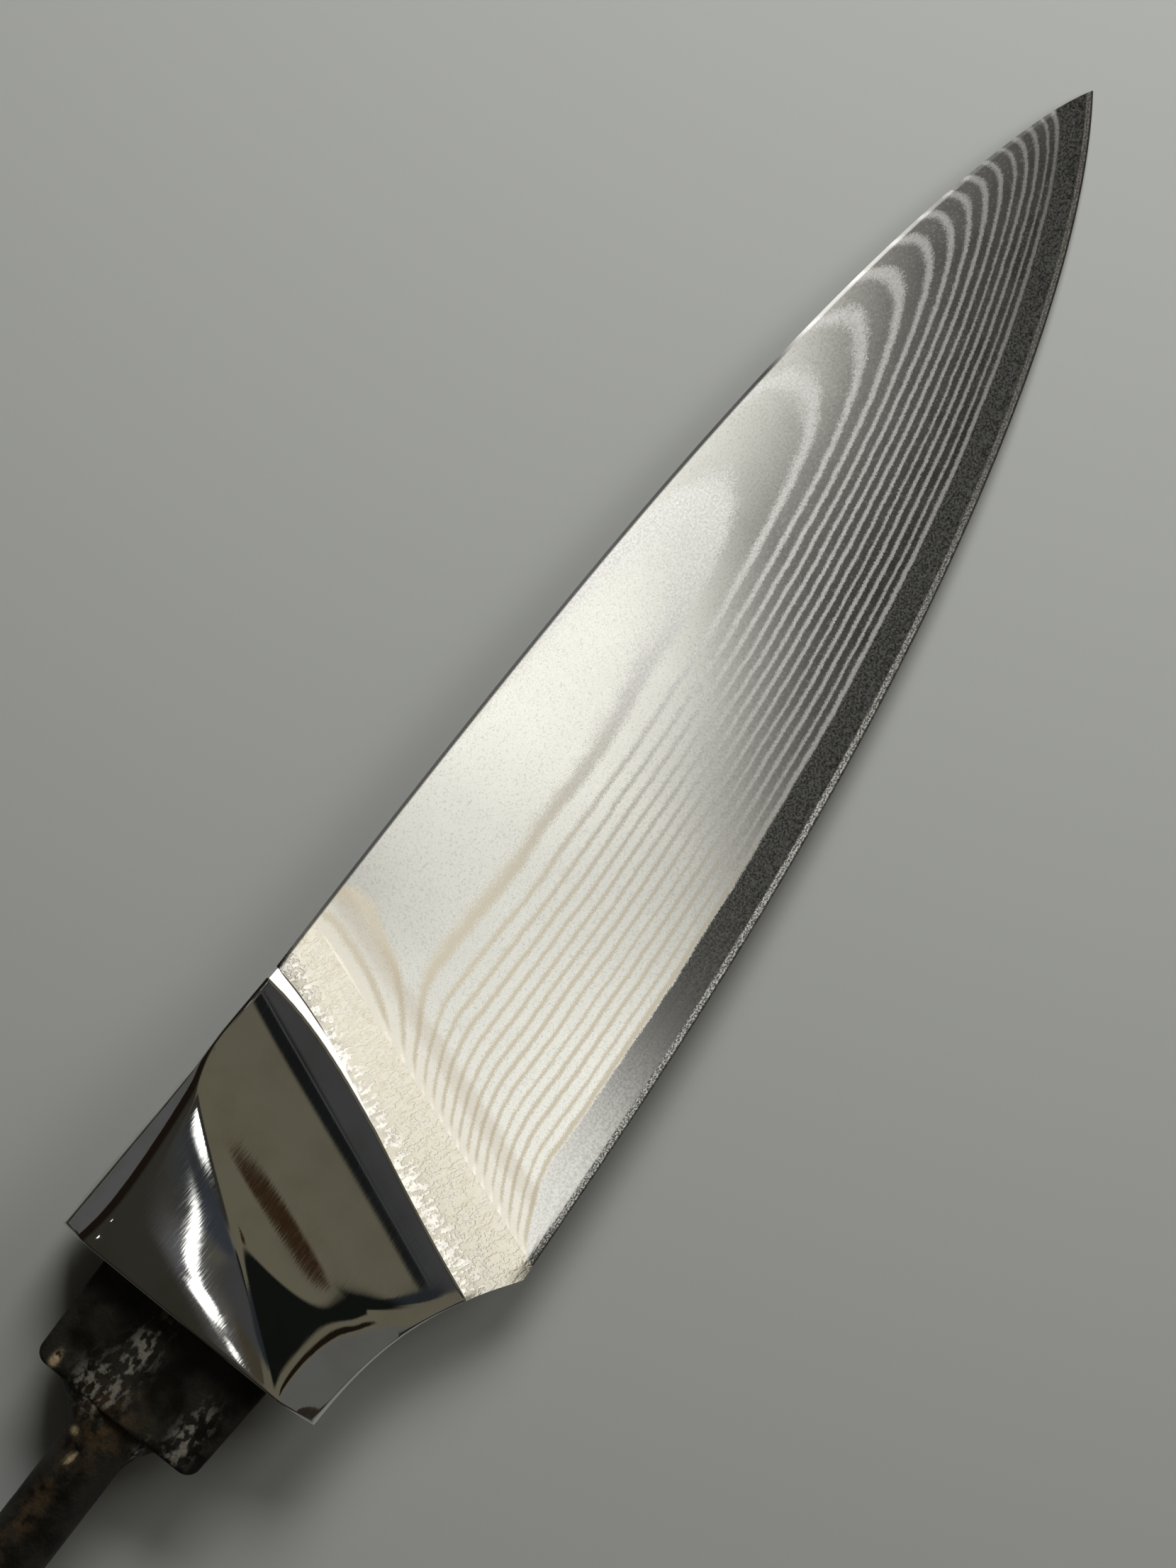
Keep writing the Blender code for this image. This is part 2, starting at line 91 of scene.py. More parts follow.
# %% Camera
VIEW_CENTRE = (41.45, 1.77)
VIEW_LENGTH = 97.44         # long side of the picture, at the blade
CAMERA_HEIGHT = 350.0
KNIFE_TURN = math.radians(51)
SENSOR = 36.0

camera = bpy.data.objects.new("camera", bpy.data.cameras.new("camera"))
camera.data.sensor_width = SENSOR
camera.data.lens = SENSOR * CAMERA_HEIGHT / VIEW_LENGTH
camera.data.clip_start = 0.01
camera.location = place(*VIEW_CENTRE, CAMERA_HEIGHT)
camera.rotation_euler = (0, 0, -KNIFE_TURN)
bpy.context.scene.collection.objects.link(camera)
bpy.context.scene.camera = camera
bpy.context.scene.view_settings.view_transform = "Standard"
print("lens", round(camera.data.lens, 1))

# %% [markdown]
# Shader trees are long to write, so a few small helpers keep them readable. Each adds one node and
# gives back its output. A value that is a socket is linked, and anything else is typed in, so a
# helper takes a constant as well as a texture. A socket knows which tree it belongs to, and the
# helpers ask it, so only the first node of a chain is told where it goes.

# %% Helpers for single nodes


def add(tree, kind, **settings):
    made = tree.nodes.new(kind)
    for name, value in settings.items():
        setattr(made, name, value)
    return made


def is_socket(value):
    return isinstance(value, bpy.types.NodeSocket)


def tree_of(*values):
    """Node tree of the first socket among some values."""
    return next(value.id_data for value in values if is_socket(value))


def feed(socket, value):
    if is_socket(value):
        tree_of(socket).links.new(value, socket)
    else:
        socket.default_value = value


def feed_all(sockets, values):
    for socket, value in zip(sockets, values):
        feed(socket, value)


def calc(operation, *values, clamp=False):
    made = add(tree_of(*values), "ShaderNodeMath", operation=operation, use_clamp=clamp)
    feed_all(made.inputs, values)
    return made.outputs[0]


def between(value, low, high, start=0.0, end=1.0):
    """Smooth step of a value from low to high."""
    made = add(tree_of(value), "ShaderNodeMapRange", interpolation_type="SMOOTHSTEP")
    feed_all(made.inputs, (value, low, high, start, end))
    return made.outputs[0]


def mix(factor, first, second):
    """Mix of two colours."""
    made = add(tree_of(factor), "ShaderNodeMix", data_type="RGBA")
    feed(made.inputs["Factor"], factor)
    colours = [value if is_socket(value) else (*value, 1.0) for value in (first, second)]
    feed_all(made.inputs[6:8], colours)
    return made.outputs[2]


def blend(factor, first, second):
    """Mix of two numbers."""
    made = add(tree_of(factor), "ShaderNodeMix", data_type="FLOAT")
    feed_all(made.inputs[:1] + made.inputs[2:4], (factor, first, second))
    return made.outputs[0]


def attribute(tree, name):
    return add(tree, "ShaderNodeAttribute", attribute_name=name).outputs["Fac"]


def start_material(name):
    material = bpy.data.materials.new(name)
    material.use_nodes = True
    tree = material.node_tree
    return material, tree, tree.nodes["Principled BSDF"].inputs


print("helpers ready")

# %% [markdown]
# Two effects come back in several finishes: the grain of etched, cast or forged steel, and a line of
# painted shade where a ground face turns over to the spine. Each is a node group, built once. A
# material puts it in with its own values, so a change to the group changes every finish at once.

# %% Groups that the finishes share


def start_group(name, inputs, outputs):
    """Shader group with named sockets. Inputs give a type and a first value."""
    group = bpy.data.node_groups.new(name, "ShaderNodeTree")
    for label, (kind, value) in inputs.items():
        socket = group.interface.new_socket(label, in_out="INPUT", socket_type="NodeSocket" + kind)
        if value is not None:
            socket.default_value = value
    for label, kind in outputs.items():
        group.interface.new_socket(label, in_out="OUTPUT", socket_type="NodeSocket" + kind)
    return group, add(group, "NodeGroupInput").outputs, add(group, "NodeGroupOutput").inputs


def use_group(group, **values):
    made = add(tree_of(*values.values()), "ShaderNodeGroup", node_tree=group)
    for name, value in values.items():
        feed(made.inputs[name], value)
    return made.outputs


grain_group, given, result = start_group(
    "steel_grain", {"Vector": ("Vector", None), "Waves": ("Vector", None), "Detail": ("Float", 2.0)},
    {"Value": "Float"})
moved = add(grain_group, "ShaderNodeVectorMath", operation="MULTIPLY")
feed_all(moved.inputs, (given["Vector"], given["Waves"]))
cloudy = add(grain_group, "ShaderNodeTexNoise", noise_dimensions="3D")
feed(cloudy.inputs["Vector"], moved.outputs[0])
feed(cloudy.inputs["Scale"], 1.0)
feed(cloudy.inputs["Detail"], given["Detail"])
feed(result["Value"], cloudy.outputs["Fac"])


def grain(vector, scale, detail=2.0, stretch=(1, 1, 1)):
    """Noise around 0.5. The scale is in waves per millimetre."""
    waves = [scale / MM * side for side in stretch]
    return use_group(grain_group, Vector=vector, Waves=waves, Detail=detail)["Value"]


# Painted shade along the spine: full within the first distance under it, gone at the second, and its
# strength.
LINE_INNER, LINE_OUTER, LINE_STRONG = 0.16, 0.30, 0.9
spine_shade_group, given, result = start_group(
    "painted_spine_shade", {"Under": ("Float", 0.0)}, {"Share": "Float"})
feed(result["Share"], between(given["Under"], LINE_INNER, LINE_OUTER, LINE_STRONG, 0.0))
print("shared groups", [group.name for group in (grain_group, spine_shade_group)])

# %% [markdown]
# Light. Polished steel shows only what is round it, so the room matters as much as the knife. It
# could be built of walls and lamps, but then a shape in the steel could be moved only by trial. Here
# the world is drawn by direction: a beige ceiling that browns towards the walls, dark and grey
# shapes, and a few narrow lamps. A direction is a lean away from the vertical, towards the tip (X)
# and the spine (Y). A mirror that slopes by a sends the upward view to a lean of about 2a, so each
# reflection in the photograph gives the place of its source. The camera itself sees a plain grey.

# %% The ceiling
BACKDROP = (0.42, 0.42, 0.42)
CEILING = (
    # height of the direction above the table, colour
    (0.00, (0.022, 0.017, 0.012)),
    (0.10, (0.030, 0.024, 0.016)),
    (0.24, (0.095, 0.086, 0.062)),
    (0.50, (0.122, 0.111, 0.077)),
    (0.85, (0.122, 0.111, 0.077)),
    (1.00, (0.118, 0.108, 0.078)),
)
STEEPEST = 0.02             # keeps leans finite at the horizon

world = bpy.data.worlds.new("room")
bpy.context.scene.world = world
world.use_nodes = True
tree = world.node_tree
direction = add(tree, "ShaderNodeTexCoord").outputs["Generated"]
parts = add(tree, "ShaderNodeSeparateXYZ")
feed(parts.inputs[0], direction)
upward = calc("MAXIMUM", parts.outputs[2], STEEPEST)
lean = add(tree, "ShaderNodeCombineXYZ")
for axis in (0, 1):
    feed(lean.inputs[axis], calc("DIVIDE", parts.outputs[axis], upward))
heights = add(tree, "ShaderNodeValToRGB")
steps = heights.color_ramp.elements     # a new ramp has one at 0 and one at 1
for height, shade in CEILING[1:-1]:
    steps.new(height)
for step, (height, shade) in zip(steps, CEILING):
    step.color = (*shade, 1)
feed(heights.inputs[0], parts.outputs[2])
colour = heights.outputs[0]
print("ceiling in", len(CEILING), "steps")

# %% What stands round the knife
LAMP_WHITE = (2.4, 2.4, 2.3)


def patch(x, y, turn, half_long, half_wide, soft):
    """Mask of a soft-edged oval of directions, 1 inside."""
    moved = add(tree, "ShaderNodeMapping", vector_type="TEXTURE")
    turned = (0, 0, math.radians(turn))
    feed_all(moved.inputs, (lean.outputs[0], (x, y, 0), turned, (half_long, half_wide, 1)))
    reach = add(tree, "ShaderNodeVectorMath", operation="LENGTH")
    feed(reach.inputs[0], moved.outputs[0])
    return between(reach.outputs["Value"], 1 - soft, 1 + soft, 1.0, 0.0)


PATCHES = (
    # lean X, lean Y, turn, half length, half width, softness, colour
    # Walls and the dim side of the room
    (0.0, -11.0, 0, 20.0, 9.9, 0.02, (0.105, 0.105, 0.098)),
    (0.0, 26.0, 0, 90.0, 21.0, 0.02, (0.088, 0.090, 0.088)),
    (-11.0, 0.0, 0, 10.1, 30.0, 0.02, (0.020, 0.018, 0.015)),
    (-0.15, 0.66, 35, 1.0, 0.56, 0.15, (0.030, 0.028, 0.021)),
    (0.1, 2.6, 0, 4.0, 1.9, 0.15, (0.010, 0.007, 0.005)),
    # What stands close to the table and overhead
    (0.25, 0.11, -30, 0.16, 0.10, 0.3, (0.030, 0.029, 0.025)),
    (-0.13, 0.090, 30, 0.16, 0.04, 0.8, (0.10, 0.10, 0.105)),
    (-0.15, -0.03, 0, 0.10, 0.04, 0.2, (0.055, 0.047, 0.032)),
    (0.08, 0.07, 60, 0.14, 0.08, 0.5, (0.034, 0.040, 0.048)),
    (-0.02, -0.04, -25, 0.13, 0.075, 0.2, (0.052, 0.052, 0.053)),
    (0.120, -0.09, -25, 0.060, 0.060, 0.3, (0.009, 0.010, 0.010)),
    (0.085, -0.075, 67, 0.090, 0.006, 0.5, (0.060, 0.060, 0.060)),
    (0.22, -0.27, -35, 0.30, 0.050, 0.2, (0.020, 0.024, 0.028)),
    (0.53, -0.49, -23, 0.42, 0.145, 0.2, (0.006, 0.007, 0.006)),
    (0.54, -0.90, 0, 0.20, 0.10, 0.3, (0.010, 0.007, 0.004)),
    (0.915, -0.461, -20, 0.18, 0.021, 0.2, (0.030, 0.016, 0.007)),
    # Lamps
    (-0.058, 0.107, 20, 0.180, 0.0115, 0.2, LAMP_WHITE),
    (-0.200, 0.054, 20, 0.030, 0.022, 0.15, LAMP_WHITE),
    (0.215, 0.14, -33, 0.05, 0.009, 0.2, LAMP_WHITE),
    (-0.344, 0.266, 0, 0.012, 0.012, 0.2, LAMP_WHITE),
    (-0.189, 0.322, 0, 0.012, 0.012, 0.2, LAMP_WHITE),
    (-0.240, 0.016, 0, 0.013, 0.006, 0.2, LAMP_WHITE),
    (15.0, -3.9, -15, 12.0, 7.0, 0.05, (1.6, 1.6, 1.55)),
)
for x, y, turn, long, wide, soft, shade in PATCHES:
    colour = mix(patch(x, y, turn, long, wide, soft), colour, shade)
seen = add(tree, "ShaderNodeLightPath").outputs["Is Camera Ray"]
feed(tree.nodes["Background"].inputs["Color"], mix(seen, colour, BACKDROP))
tree.nodes["Background"].inputs["Strength"].default_value = 1.0
print(len(PATCHES), "patches in the room")

# %% [markdown]
# The table needs real lamps, because a soft shadow and a gentle fall of light come from a lamp's size
# and place. Both stay out of the reflections, which the room already holds. The etched steel is too
# matt to mirror the room's small shapes, so a wide softbox overhead shines on it alone.

# %% Lamps


def lamp(name, x, y, z, size, power, aim=(30, 0, 0), glossy=True, diffuse=True, only=None):
    """Square soft light, placed in millimetres. It may light one collection only."""
    data = bpy.data.lights.new(name, "AREA")
    data.size = size * MM
    data.energy = power
    obj = bpy.data.objects.new(name, data)
    obj.location = place(x, y, z)
    obj.rotation_euler = (place(*aim) - obj.location).to_track_quat("-Z", "Y").to_euler()
    obj.visible_camera = False
    obj.visible_glossy = glossy
    obj.visible_diffuse = diffuse
    if only:
        obj.light_linking.receiver_collection = only
    bpy.context.scene.collection.objects.link(obj)
    print(name, round(power, 2), "W")


lamp("window", x=180, y=72, z=175, size=110, power=0.50, glossy=False)
lamp("low_lamp", x=240, y=-110, z=190, size=160, power=0.30, glossy=False)
matt_pieces = bpy.data.collections.new("matt_pieces")
SOFTBOX, SOFTBOX_GLOW = 700.0, 1.21
softbox_power = SOFTBOX_GLOW * math.pi * (SOFTBOX * MM) ** 2
lamp("softbox", x=41, y=0, z=520, size=SOFTBOX, power=softbox_power, aim=(41, 0, 0),
     diffuse=False, only=matt_pieces)

# %% [markdown]
# The knife lies on its side and touches the table with the bolster's cheek and the tip only. The CAD
# keeps the blade's middle plane level, so it is the table that leans by three degrees here.

# %% Table
TABLE_COLOUR = (0.345, 0.352, 0.335)
TOUCH_X = 7.0               # front end of the cheek's flat
TABLE_SLOPE = 0.0516
TABLE_HALF = 1500.0

bm = bmesh.new()
bmesh.ops.create_grid(bm, x_segments=1, y_segments=1, size=TABLE_HALF * MM)
bmesh.ops.rotate(bm, matrix=Matrix.Rotation(-math.atan(TABLE_SLOPE), 3, "Y"), verts=bm.verts)
touch = Vector((REAR.x + TOUCH_X * MM, 0, 0))
bmesh.ops.translate(bm, vec=touch, verts=bm.verts)
table = bpy.data.objects.new("table", bpy.data.meshes.new("table"))
bm.to_mesh(table.data)
bm.free()
bpy.context.scene.collection.objects.link(table)
table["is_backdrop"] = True
table_top, tree, inputs = start_material("table_top")
inputs["Base Color"].default_value = (*TABLE_COLOUR, 1)
inputs["Roughness"].default_value = 0.5
inputs["Specular IOR Level"].default_value = 0.2
table.data.materials.append(table_top)
print("table leans", round(math.degrees(math.atan(TABLE_SLOPE)), 2), "degrees")

# %% [markdown]
# Outline of the blade. The edge and the spine could be traced as points, but points have to be
# smoothed and give no slope. Here they are exponential curves that meet in the tip, the same ones as
# in the CAD source, because a smooth formula can be cut as finely as a close view needs.

# %% Outlines
TIP_X, TIP_Y = 94.7, 4.5
SPINE_RISE, SPINE_RUN, SPINE_SLOPE = 7.6, 22.0, 0.036
EDGE_DROP, EDGE_RUN = 20.7, 41.0
NOSE_SPINE, NOSE_SPINE_RUN = 0.5, 2.0
NOSE_EDGE, NOSE_EDGE_RUN = 1.25, 5.0
HEEL_X = 14.9
BELLY_POWER = 2.5
FOOT_BELLY_X, FOOT_SPINE_X, FOOT_SWING = 11.85, 20.5, 0.65
SEAM_EDGE_X, SEAM_SPINE_X = 16.0, 24.2


def edge_y(x):
    back = TIP_X - x
    nose = NOSE_EDGE * (1 - math.exp(-back / NOSE_EDGE_RUN))
    return TIP_Y - EDGE_DROP * (1 - math.exp(-back / EDGE_RUN)) - nose


def spine_y(x):
    back = TIP_X - x
    nose = NOSE_SPINE * (1 - math.exp(-back / NOSE_SPINE_RUN))
    return TIP_Y + SPINE_RISE * (1 - math.exp(-back / SPINE_RUN)) - SPINE_SLOPE * back + nose


def belly_y(x):
    sweep = -BOLSTER_HALF_HEIGHT - edge_y(HEEL_X)
    return -BOLSTER_HALF_HEIGHT - sweep * (max(x, 0) / HEEL_X) ** BELLY_POWER


def on_edge(x):
    return Vector((x, edge_y(x)))


def on_spine(x):
    return Vector((x, spine_y(x)))


FOOT_LOW = Vector((FOOT_BELLY_X, belly_y(FOOT_BELLY_X)))
FOOT_HIGH = on_spine(FOOT_SPINE_X)


def foot_swing(share):
    """How far the foot's line bows towards the tip, most at three quarters of its length."""
    return FOOT_SWING * share ** 3 * (1 - share) * 256 / 27


def foot_point(share):
    """Bolster's foot, from the belly to the spine."""
    point = FOOT_LOW.lerp(FOOT_HIGH, share)
    point.x += foot_swing(share)
    return point


print("heel at", round(edge_y(HEEL_X), 2), "mm, blade", round(TIP_X - HEEL_X, 1), "mm long")

# %% [markdown]
# Ground surface of the blade. A flat bevel rises from the land at the edge and runs softly into the
# flat of the blade, which thins out towards the tip. In front of the weld it climbs on a wide radius.
# The pattern of the steel is nothing but the contour lines of this surface, so it has to be true:
# a hundredth of a millimetre moves a line by its own width.

# %% Ground surface
CORE_HALF = 0.25
FLAT_RISE, TAPER_RUN = 0.644, 12.0
LAND, LAND_HALF = 0.6, 0.14
BEVEL_SLOPE_TIP, BEVEL_SLOPE_HEEL = 0.087, 0.05
SHOULDER_ROUND = 0.083
SPINE_CROWN, TIP_CROWN, TIP_EASE, CROWN_DEPTH = 0.023, 0.055, 4.0, 1.0
RAMP_RUN, RAMP_RISE = 5.0, 0.106
LAYERS_LOW, LAYERS_HIGH = on_edge(SEAM_EDGE_X), on_spine(SEAM_SPINE_X)


def ahead_of_seam(x, y):
    """Distance in front of the line where the layers end."""
    along = (LAYERS_HIGH - LAYERS_LOW).normalized()
    return (x - LAYERS_LOW.x) * along.y - (y - LAYERS_LOW.y) * along.x


def half_thickness(x, y):
    back = TIP_X - x
    height = max(y - edge_y(x), 0)
    rear = back / (TIP_X - HEEL_X)
    slope = BEVEL_SLOPE_TIP * (BEVEL_SLOPE_HEEL / BEVEL_SLOPE_TIP) ** rear
    bevel = LAND_HALF + max(height - LAND, 0) * slope
    flat = CORE_HALF + FLAT_RISE * (1 - math.exp(-back / TAPER_RUN))
    both = math.exp(-bevel / SHOULDER_ROUND) + math.exp(-flat / SHOULDER_ROUND)
    near_tip = TIP_CROWN * math.exp(-back / TAPER_RUN) * (1 - math.exp(-(back / TIP_EASE) ** 2))
    crown = (SPINE_CROWN + near_tip) * math.exp(-max(spine_y(x) - y, 0) / CROWN_DEPTH)
    near = max(RAMP_RUN - ahead_of_seam(x, y), 0) / RAMP_RUN
    surface = RAMP_RISE * near ** 2 - SHOULDER_ROUND * math.log(both) - crown
    return min(height / LAND, 1) * surface


def solve(wanted, value, low, high):
    """Where a rising function reaches the wanted value, found by halving."""
    for _ in range(40):
        middle = (low + high) / 2
        if value(middle) < wanted:
            low = middle
        else:
            high = middle
    return (low + high) / 2


print("spine of the blade", round(2 * half_thickness(30, spine_y(30)), 2), "mm thick at 30 mm")

# %% [markdown]
# Most pieces here are sheets with a wavy upper and lower face. Modifiers could carve them, but a
# height formula says exactly what is wanted. One helper makes them all: a grid is laid out, extruded
# into a closed body, and its two faces are set to their heights. Points that meet, as at the cutting
# edge and the tip, are merged.

# %% Helper for closed sheets
SAME_POINT = 2e-4


def finish_piece(bm, name, material, slot, *nodes, sharp=35.0):
    """Scale to metres, smooth, and stand for its CAD nodes."""
    bmesh.ops.recalc_face_normals(bm, faces=bm.faces)
    bmesh.ops.scale(bm, vec=(MM, MM, MM), verts=bm.verts)
    bmesh.ops.translate(bm, vec=REAR, verts=bm.verts)
    mesh = bpy.data.meshes.new(name)
    bm.to_mesh(mesh)
    bm.free()
    mesh.shade_smooth()
    mesh.set_sharp_from_angle(angle=math.radians(sharp))
    mesh.materials.append(material)
    obj = bpy.data.objects.new(name, mesh)
    bpy.context.scene.collection.objects.link(obj)
    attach(obj, "root")
    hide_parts(*nodes)
    print(name, len(mesh.polygons), "faces, CAD nodes:", len(nodes))
    return obj


def closed_sheet(columns, lower, upper):
    """Body between two heights above a grid of points."""
    across, up = len(columns), len(columns[0])
    bm = bmesh.new()
    bmesh.ops.create_grid(bm, x_segments=across - 1, y_segments=up - 1, size=1.0)
    bm.verts.ensure_lookup_table()
    for row in range(up):
        for column in range(across):
            x, y = columns[column][row]
            bm.verts[row * across + column].co = (x, y, lower(x, y))
    whole = bm.verts[:] + bm.edges[:] + bm.faces[:]
    made = bmesh.ops.extrude_face_region(bm, geom=whole, use_keep_orig=True)["geom"]
    for vert in (item for item in made if isinstance(item, bmesh.types.BMVert)):
        vert.co.z = upper(vert.co.x, vert.co.y)
    bmesh.ops.remove_doubles(bm, verts=bm.verts, dist=SAME_POINT)
    return bm


def paint(obj, name, value):
    """Store a number at every point of a piece, worked out from its place in millimetres."""
    layer = obj.data.attributes.new(name, "FLOAT", "POINT")
    for vert, item in zip(obj.data.vertices, layer.data):
        place_mm = (vert.co - REAR) / MM
        item.value = value(place_mm.x, place_mm.y)


print("sheets ready")

# %% [markdown]
# Layered steel. Two kinds of steel lie in flat sheets on both sides of a hard core, and the grinding
# cuts through them at a low angle. Painted lines or a wave texture would have to be bent to fit. The
# material asks instead how far a point lies from the middle plane and counts sheets: the thin ones
# stay smooth, the thick ones are etched matt. A little noise in that depth gives the forged waver.
# Counting real depth puts the same sheets on both sides and on the spine.

# %% Count of the sheets at a depth
PAIR = 0.046                # a thin and a thick sheet together
PATTERN_WAVER = 0.32        # in pairs
WAVERS = (
    # waves per millimetre, detail, weight
    (0.16, 1.0, 1.0), (0.9, 2.0, 0.6), (7.0, 2.0, 0.75))

group, given, result = start_group(
    "sheet_count", {"Vector": ("Vector", None)}, {"Pair": "Float"})
axes = add(group, "ShaderNodeSeparateXYZ")
feed(axes.inputs[0], given["Vector"])
depth = calc("ABSOLUTE", calc("SUBTRACT", axes.outputs[2], REAR.z))
pair = calc("DIVIDE", calc("SUBTRACT", depth, CORE_HALF * MM), PAIR * MM)
for waves, detail, weight in WAVERS:
    noisy = calc("SUBTRACT", grain(given["Vector"], waves, detail, (1, 1, 0)), 0.5)
    pair = calc("MULTIPLY_ADD", noisy, weight * PATTERN_WAVER, pair)
feed(result["Pair"], pair)
sheet_count = group
print("sheets a side", round(2 * (half_thickness(24.3, spine_y(24.3)) - CORE_HALF) / PAIR))

# %% Thin and thick sheets
THIN_SHARE, THIN_SPREAD = 0.31, 0.12    # a thin sheet's share of a pair, and how much it varies
FIRST_WIDER = 0.1                       # the sheet next to the core is thicker

layered_steel, tree, inputs = start_material("layered_steel")
where = add(tree, "ShaderNodeTexCoord").outputs["Object"]
count = use_group(sheet_count, Vector=where)
whole = calc("FLOOR", count["Pair"])
part = calc("FRACT", count["Pair"])
chance = add(tree, "ShaderNodeTexWhiteNoise", noise_dimensions="1D")
feed(chance.inputs["W"], whole)
share = calc("MULTIPLY_ADD", chance.outputs["Value"], THIN_SPREAD, THIN_SHARE)
first = calc("LESS_THAN", calc("ABSOLUTE", whole), 0.5)
share = calc("MULTIPLY_ADD", first, FIRST_WIDER, share)
ragged = calc("MULTIPLY", calc("SUBTRACT", grain(where, 16.0, 2.0), 0.5), 0.5)
from_start = calc("ADD", part, ragged)
rising = between(from_start, -0.02, 0.16)
falling = between(calc("SUBTRACT", from_start, share), -0.10, 0.14, 1.0, 0.0)
thin = calc("MULTIPLY", rising, falling)
print("thin sheets take", THIN_SHARE, "of a pair and up to", THIN_SPREAD, "more")

# %% [markdown]
# The acid leaves the thick sheets grainy and nearly black, and a painted highlight makes them nearly
# white from place to place, where a lamp's sheen would lie. Three sizes of noise make that grain:
# specks, pepper between them and slow clouds. Where the highlight is painted is read from attributes,
# painted once the pieces are made.

# %% Colours of the sheets
THIN_REAR_REFLECTION = (0.46, 0.42, 0.33)
THIN_TINT = (1.0, 0.985, 0.93)
MATT_BLACK, MATT_PAINTED_HIGHLIGHT = (0.012, 0.011, 0.010), (0.99, 0.98, 0.90)
FLECK = (0.04, 0.04, 0.038)
PEPPER_PALE, PEPPER_DARK = (0.66, 0.65, 0.60), (0.10, 0.10, 0.09)

cloud = calc("SUBTRACT", grain(where, 0.5, 2.0), 0.5)
speck = grain(where, 22.0, 3.0)
# Painted highlight: an attribute lightens the matt sheets towards white where a lamp's sheen would lie,
# near the heel and the spine.
painted_sheen = calc("MULTIPLY_ADD", cloud, 0.05, attribute(tree, "painted_sheen"), clamp=True)
matt = mix(painted_sheen, MATT_BLACK, MATT_PAINTED_HIGHLIGHT)
matt = mix(between(speck, 0.25, 0.6, 0.25, 0.0), matt, FLECK)
pepper = grain(where, 6.5, 3.0)
pepper_share = calc("MULTIPLY_ADD", painted_sheen, 0.75, 0.25)
pepper_share = calc("MULTIPLY", between(pepper, 0.50, 0.72, 0.0, 0.30), pepper_share)
matt = mix(pepper_share, matt, PEPPER_PALE)
matt = mix(between(pepper, 0.28, 0.50, 0.22, 0.0), matt, PEPPER_DARK)
# Painted reflection: the thin sheets' brightness along the blade and their yellower tone near the heel
# stand for the room that they mirror.
painted_thin_reflection = attribute(tree, "painted_thin_reflection")
painted_thin_reflection = calc("MULTIPLY", painted_thin_reflection, between(pepper, 0.3, 0.7, 0.88, 1.1))
painted_reflection_colour = add(tree, "ShaderNodeCombineColor")
feed_all(painted_reflection_colour.inputs, [calc("MULTIPLY", painted_thin_reflection, tint) for tint in THIN_TINT])
smooth = mix(attribute(tree, "rear"), painted_reflection_colour.outputs[0], THIN_REAR_REFLECTION)
print("sheets coloured")

# %% [markdown]
# Near the weld a brown band of painted shade runs along the radius in front of the seam, where its
# slope begins, and the lines fade in the last fraction of a millimetre.

# %% Steel near the weld
MATT_IN_PAINTED_SHADE, SMOOTH_IN_PAINTED_SHADE = (0.52, 0.45, 0.34), (0.36, 0.30, 0.22)
BY_THE_WELD = (0.76, 0.72, 0.61)

ahead = calc("MULTIPLY_ADD", cloud, 0.6, attribute(tree, "ahead"))
# Painted shade: a brownish band where the climb in front of the seam begins.
painted_shade = calc("MULTIPLY", between(ahead, 1.3, 2.0), between(ahead, 2.5, 3.1, 0.4, 0.0))
matt = mix(painted_shade, matt, MATT_IN_PAINTED_SHADE)
smooth = mix(painted_shade, smooth, SMOOTH_IN_PAINTED_SHADE)
matt = mix(between(ahead, 0.2, 2.4, 0.7, 0.0), matt, BY_THE_WELD)
thin_here = calc("MULTIPLY", thin, between(ahead, -0.1, 0.7))
cladding = mix(thin_here, matt, smooth)
print("browned band from 1.3 to 3.1 mm in front of the seam")

# %% Painted shade and highlight along the spine
SPINE_PAINTED_SHADE, SPINE_PAINTED_HIGHLIGHT = (0.020, 0.020, 0.022), (0.85, 0.84, 0.80)
# The line is painted shade behind here, and a painted highlight in front.
HIGHLIGHT_FROM, HIGHLIGHT_TO = 68.0, 73.0     # the line is dark behind here, and bright in front

along = attribute(tree, "along")
painted_spine_light = mix(between(along, HIGHLIGHT_FROM, HIGHLIGHT_TO), SPINE_PAINTED_SHADE, SPINE_PAINTED_HIGHLIGHT)
under = calc("MULTIPLY_ADD", ragged, 0.06, attribute(tree, "under_spine"))
spine_shade_share = use_group(spine_shade_group, Under=under)["Share"]
spine_shade_share = calc("MULTIPLY", spine_shade_share, between(along, 76.0, 88.0, 1.0, 0.1))
cladding = mix(spine_shade_share, cladding, painted_spine_light)
print("spine line", LINE_OUTER, "mm wide")

# %% [markdown]
# The core is the hard steel that does the cutting. The acid turns it almost black, but near the heel
# it came out pale and pitted. A narrow land along the very edge was ground last and is left gritty.

# %% Core and land
CORE_PALE, CORE_DARK, CORE_PIT = (0.80, 0.79, 0.74), (0.010, 0.010, 0.009), (0.12, 0.12, 0.11)
GRIT_DARK, GRIT_PALE = (0.12, 0.12, 0.11), (0.60, 0.59, 0.55)
GRIT_TIP, VERY_EDGE = (0.085, 0.078, 0.066), (0.03, 0.03, 0.028)

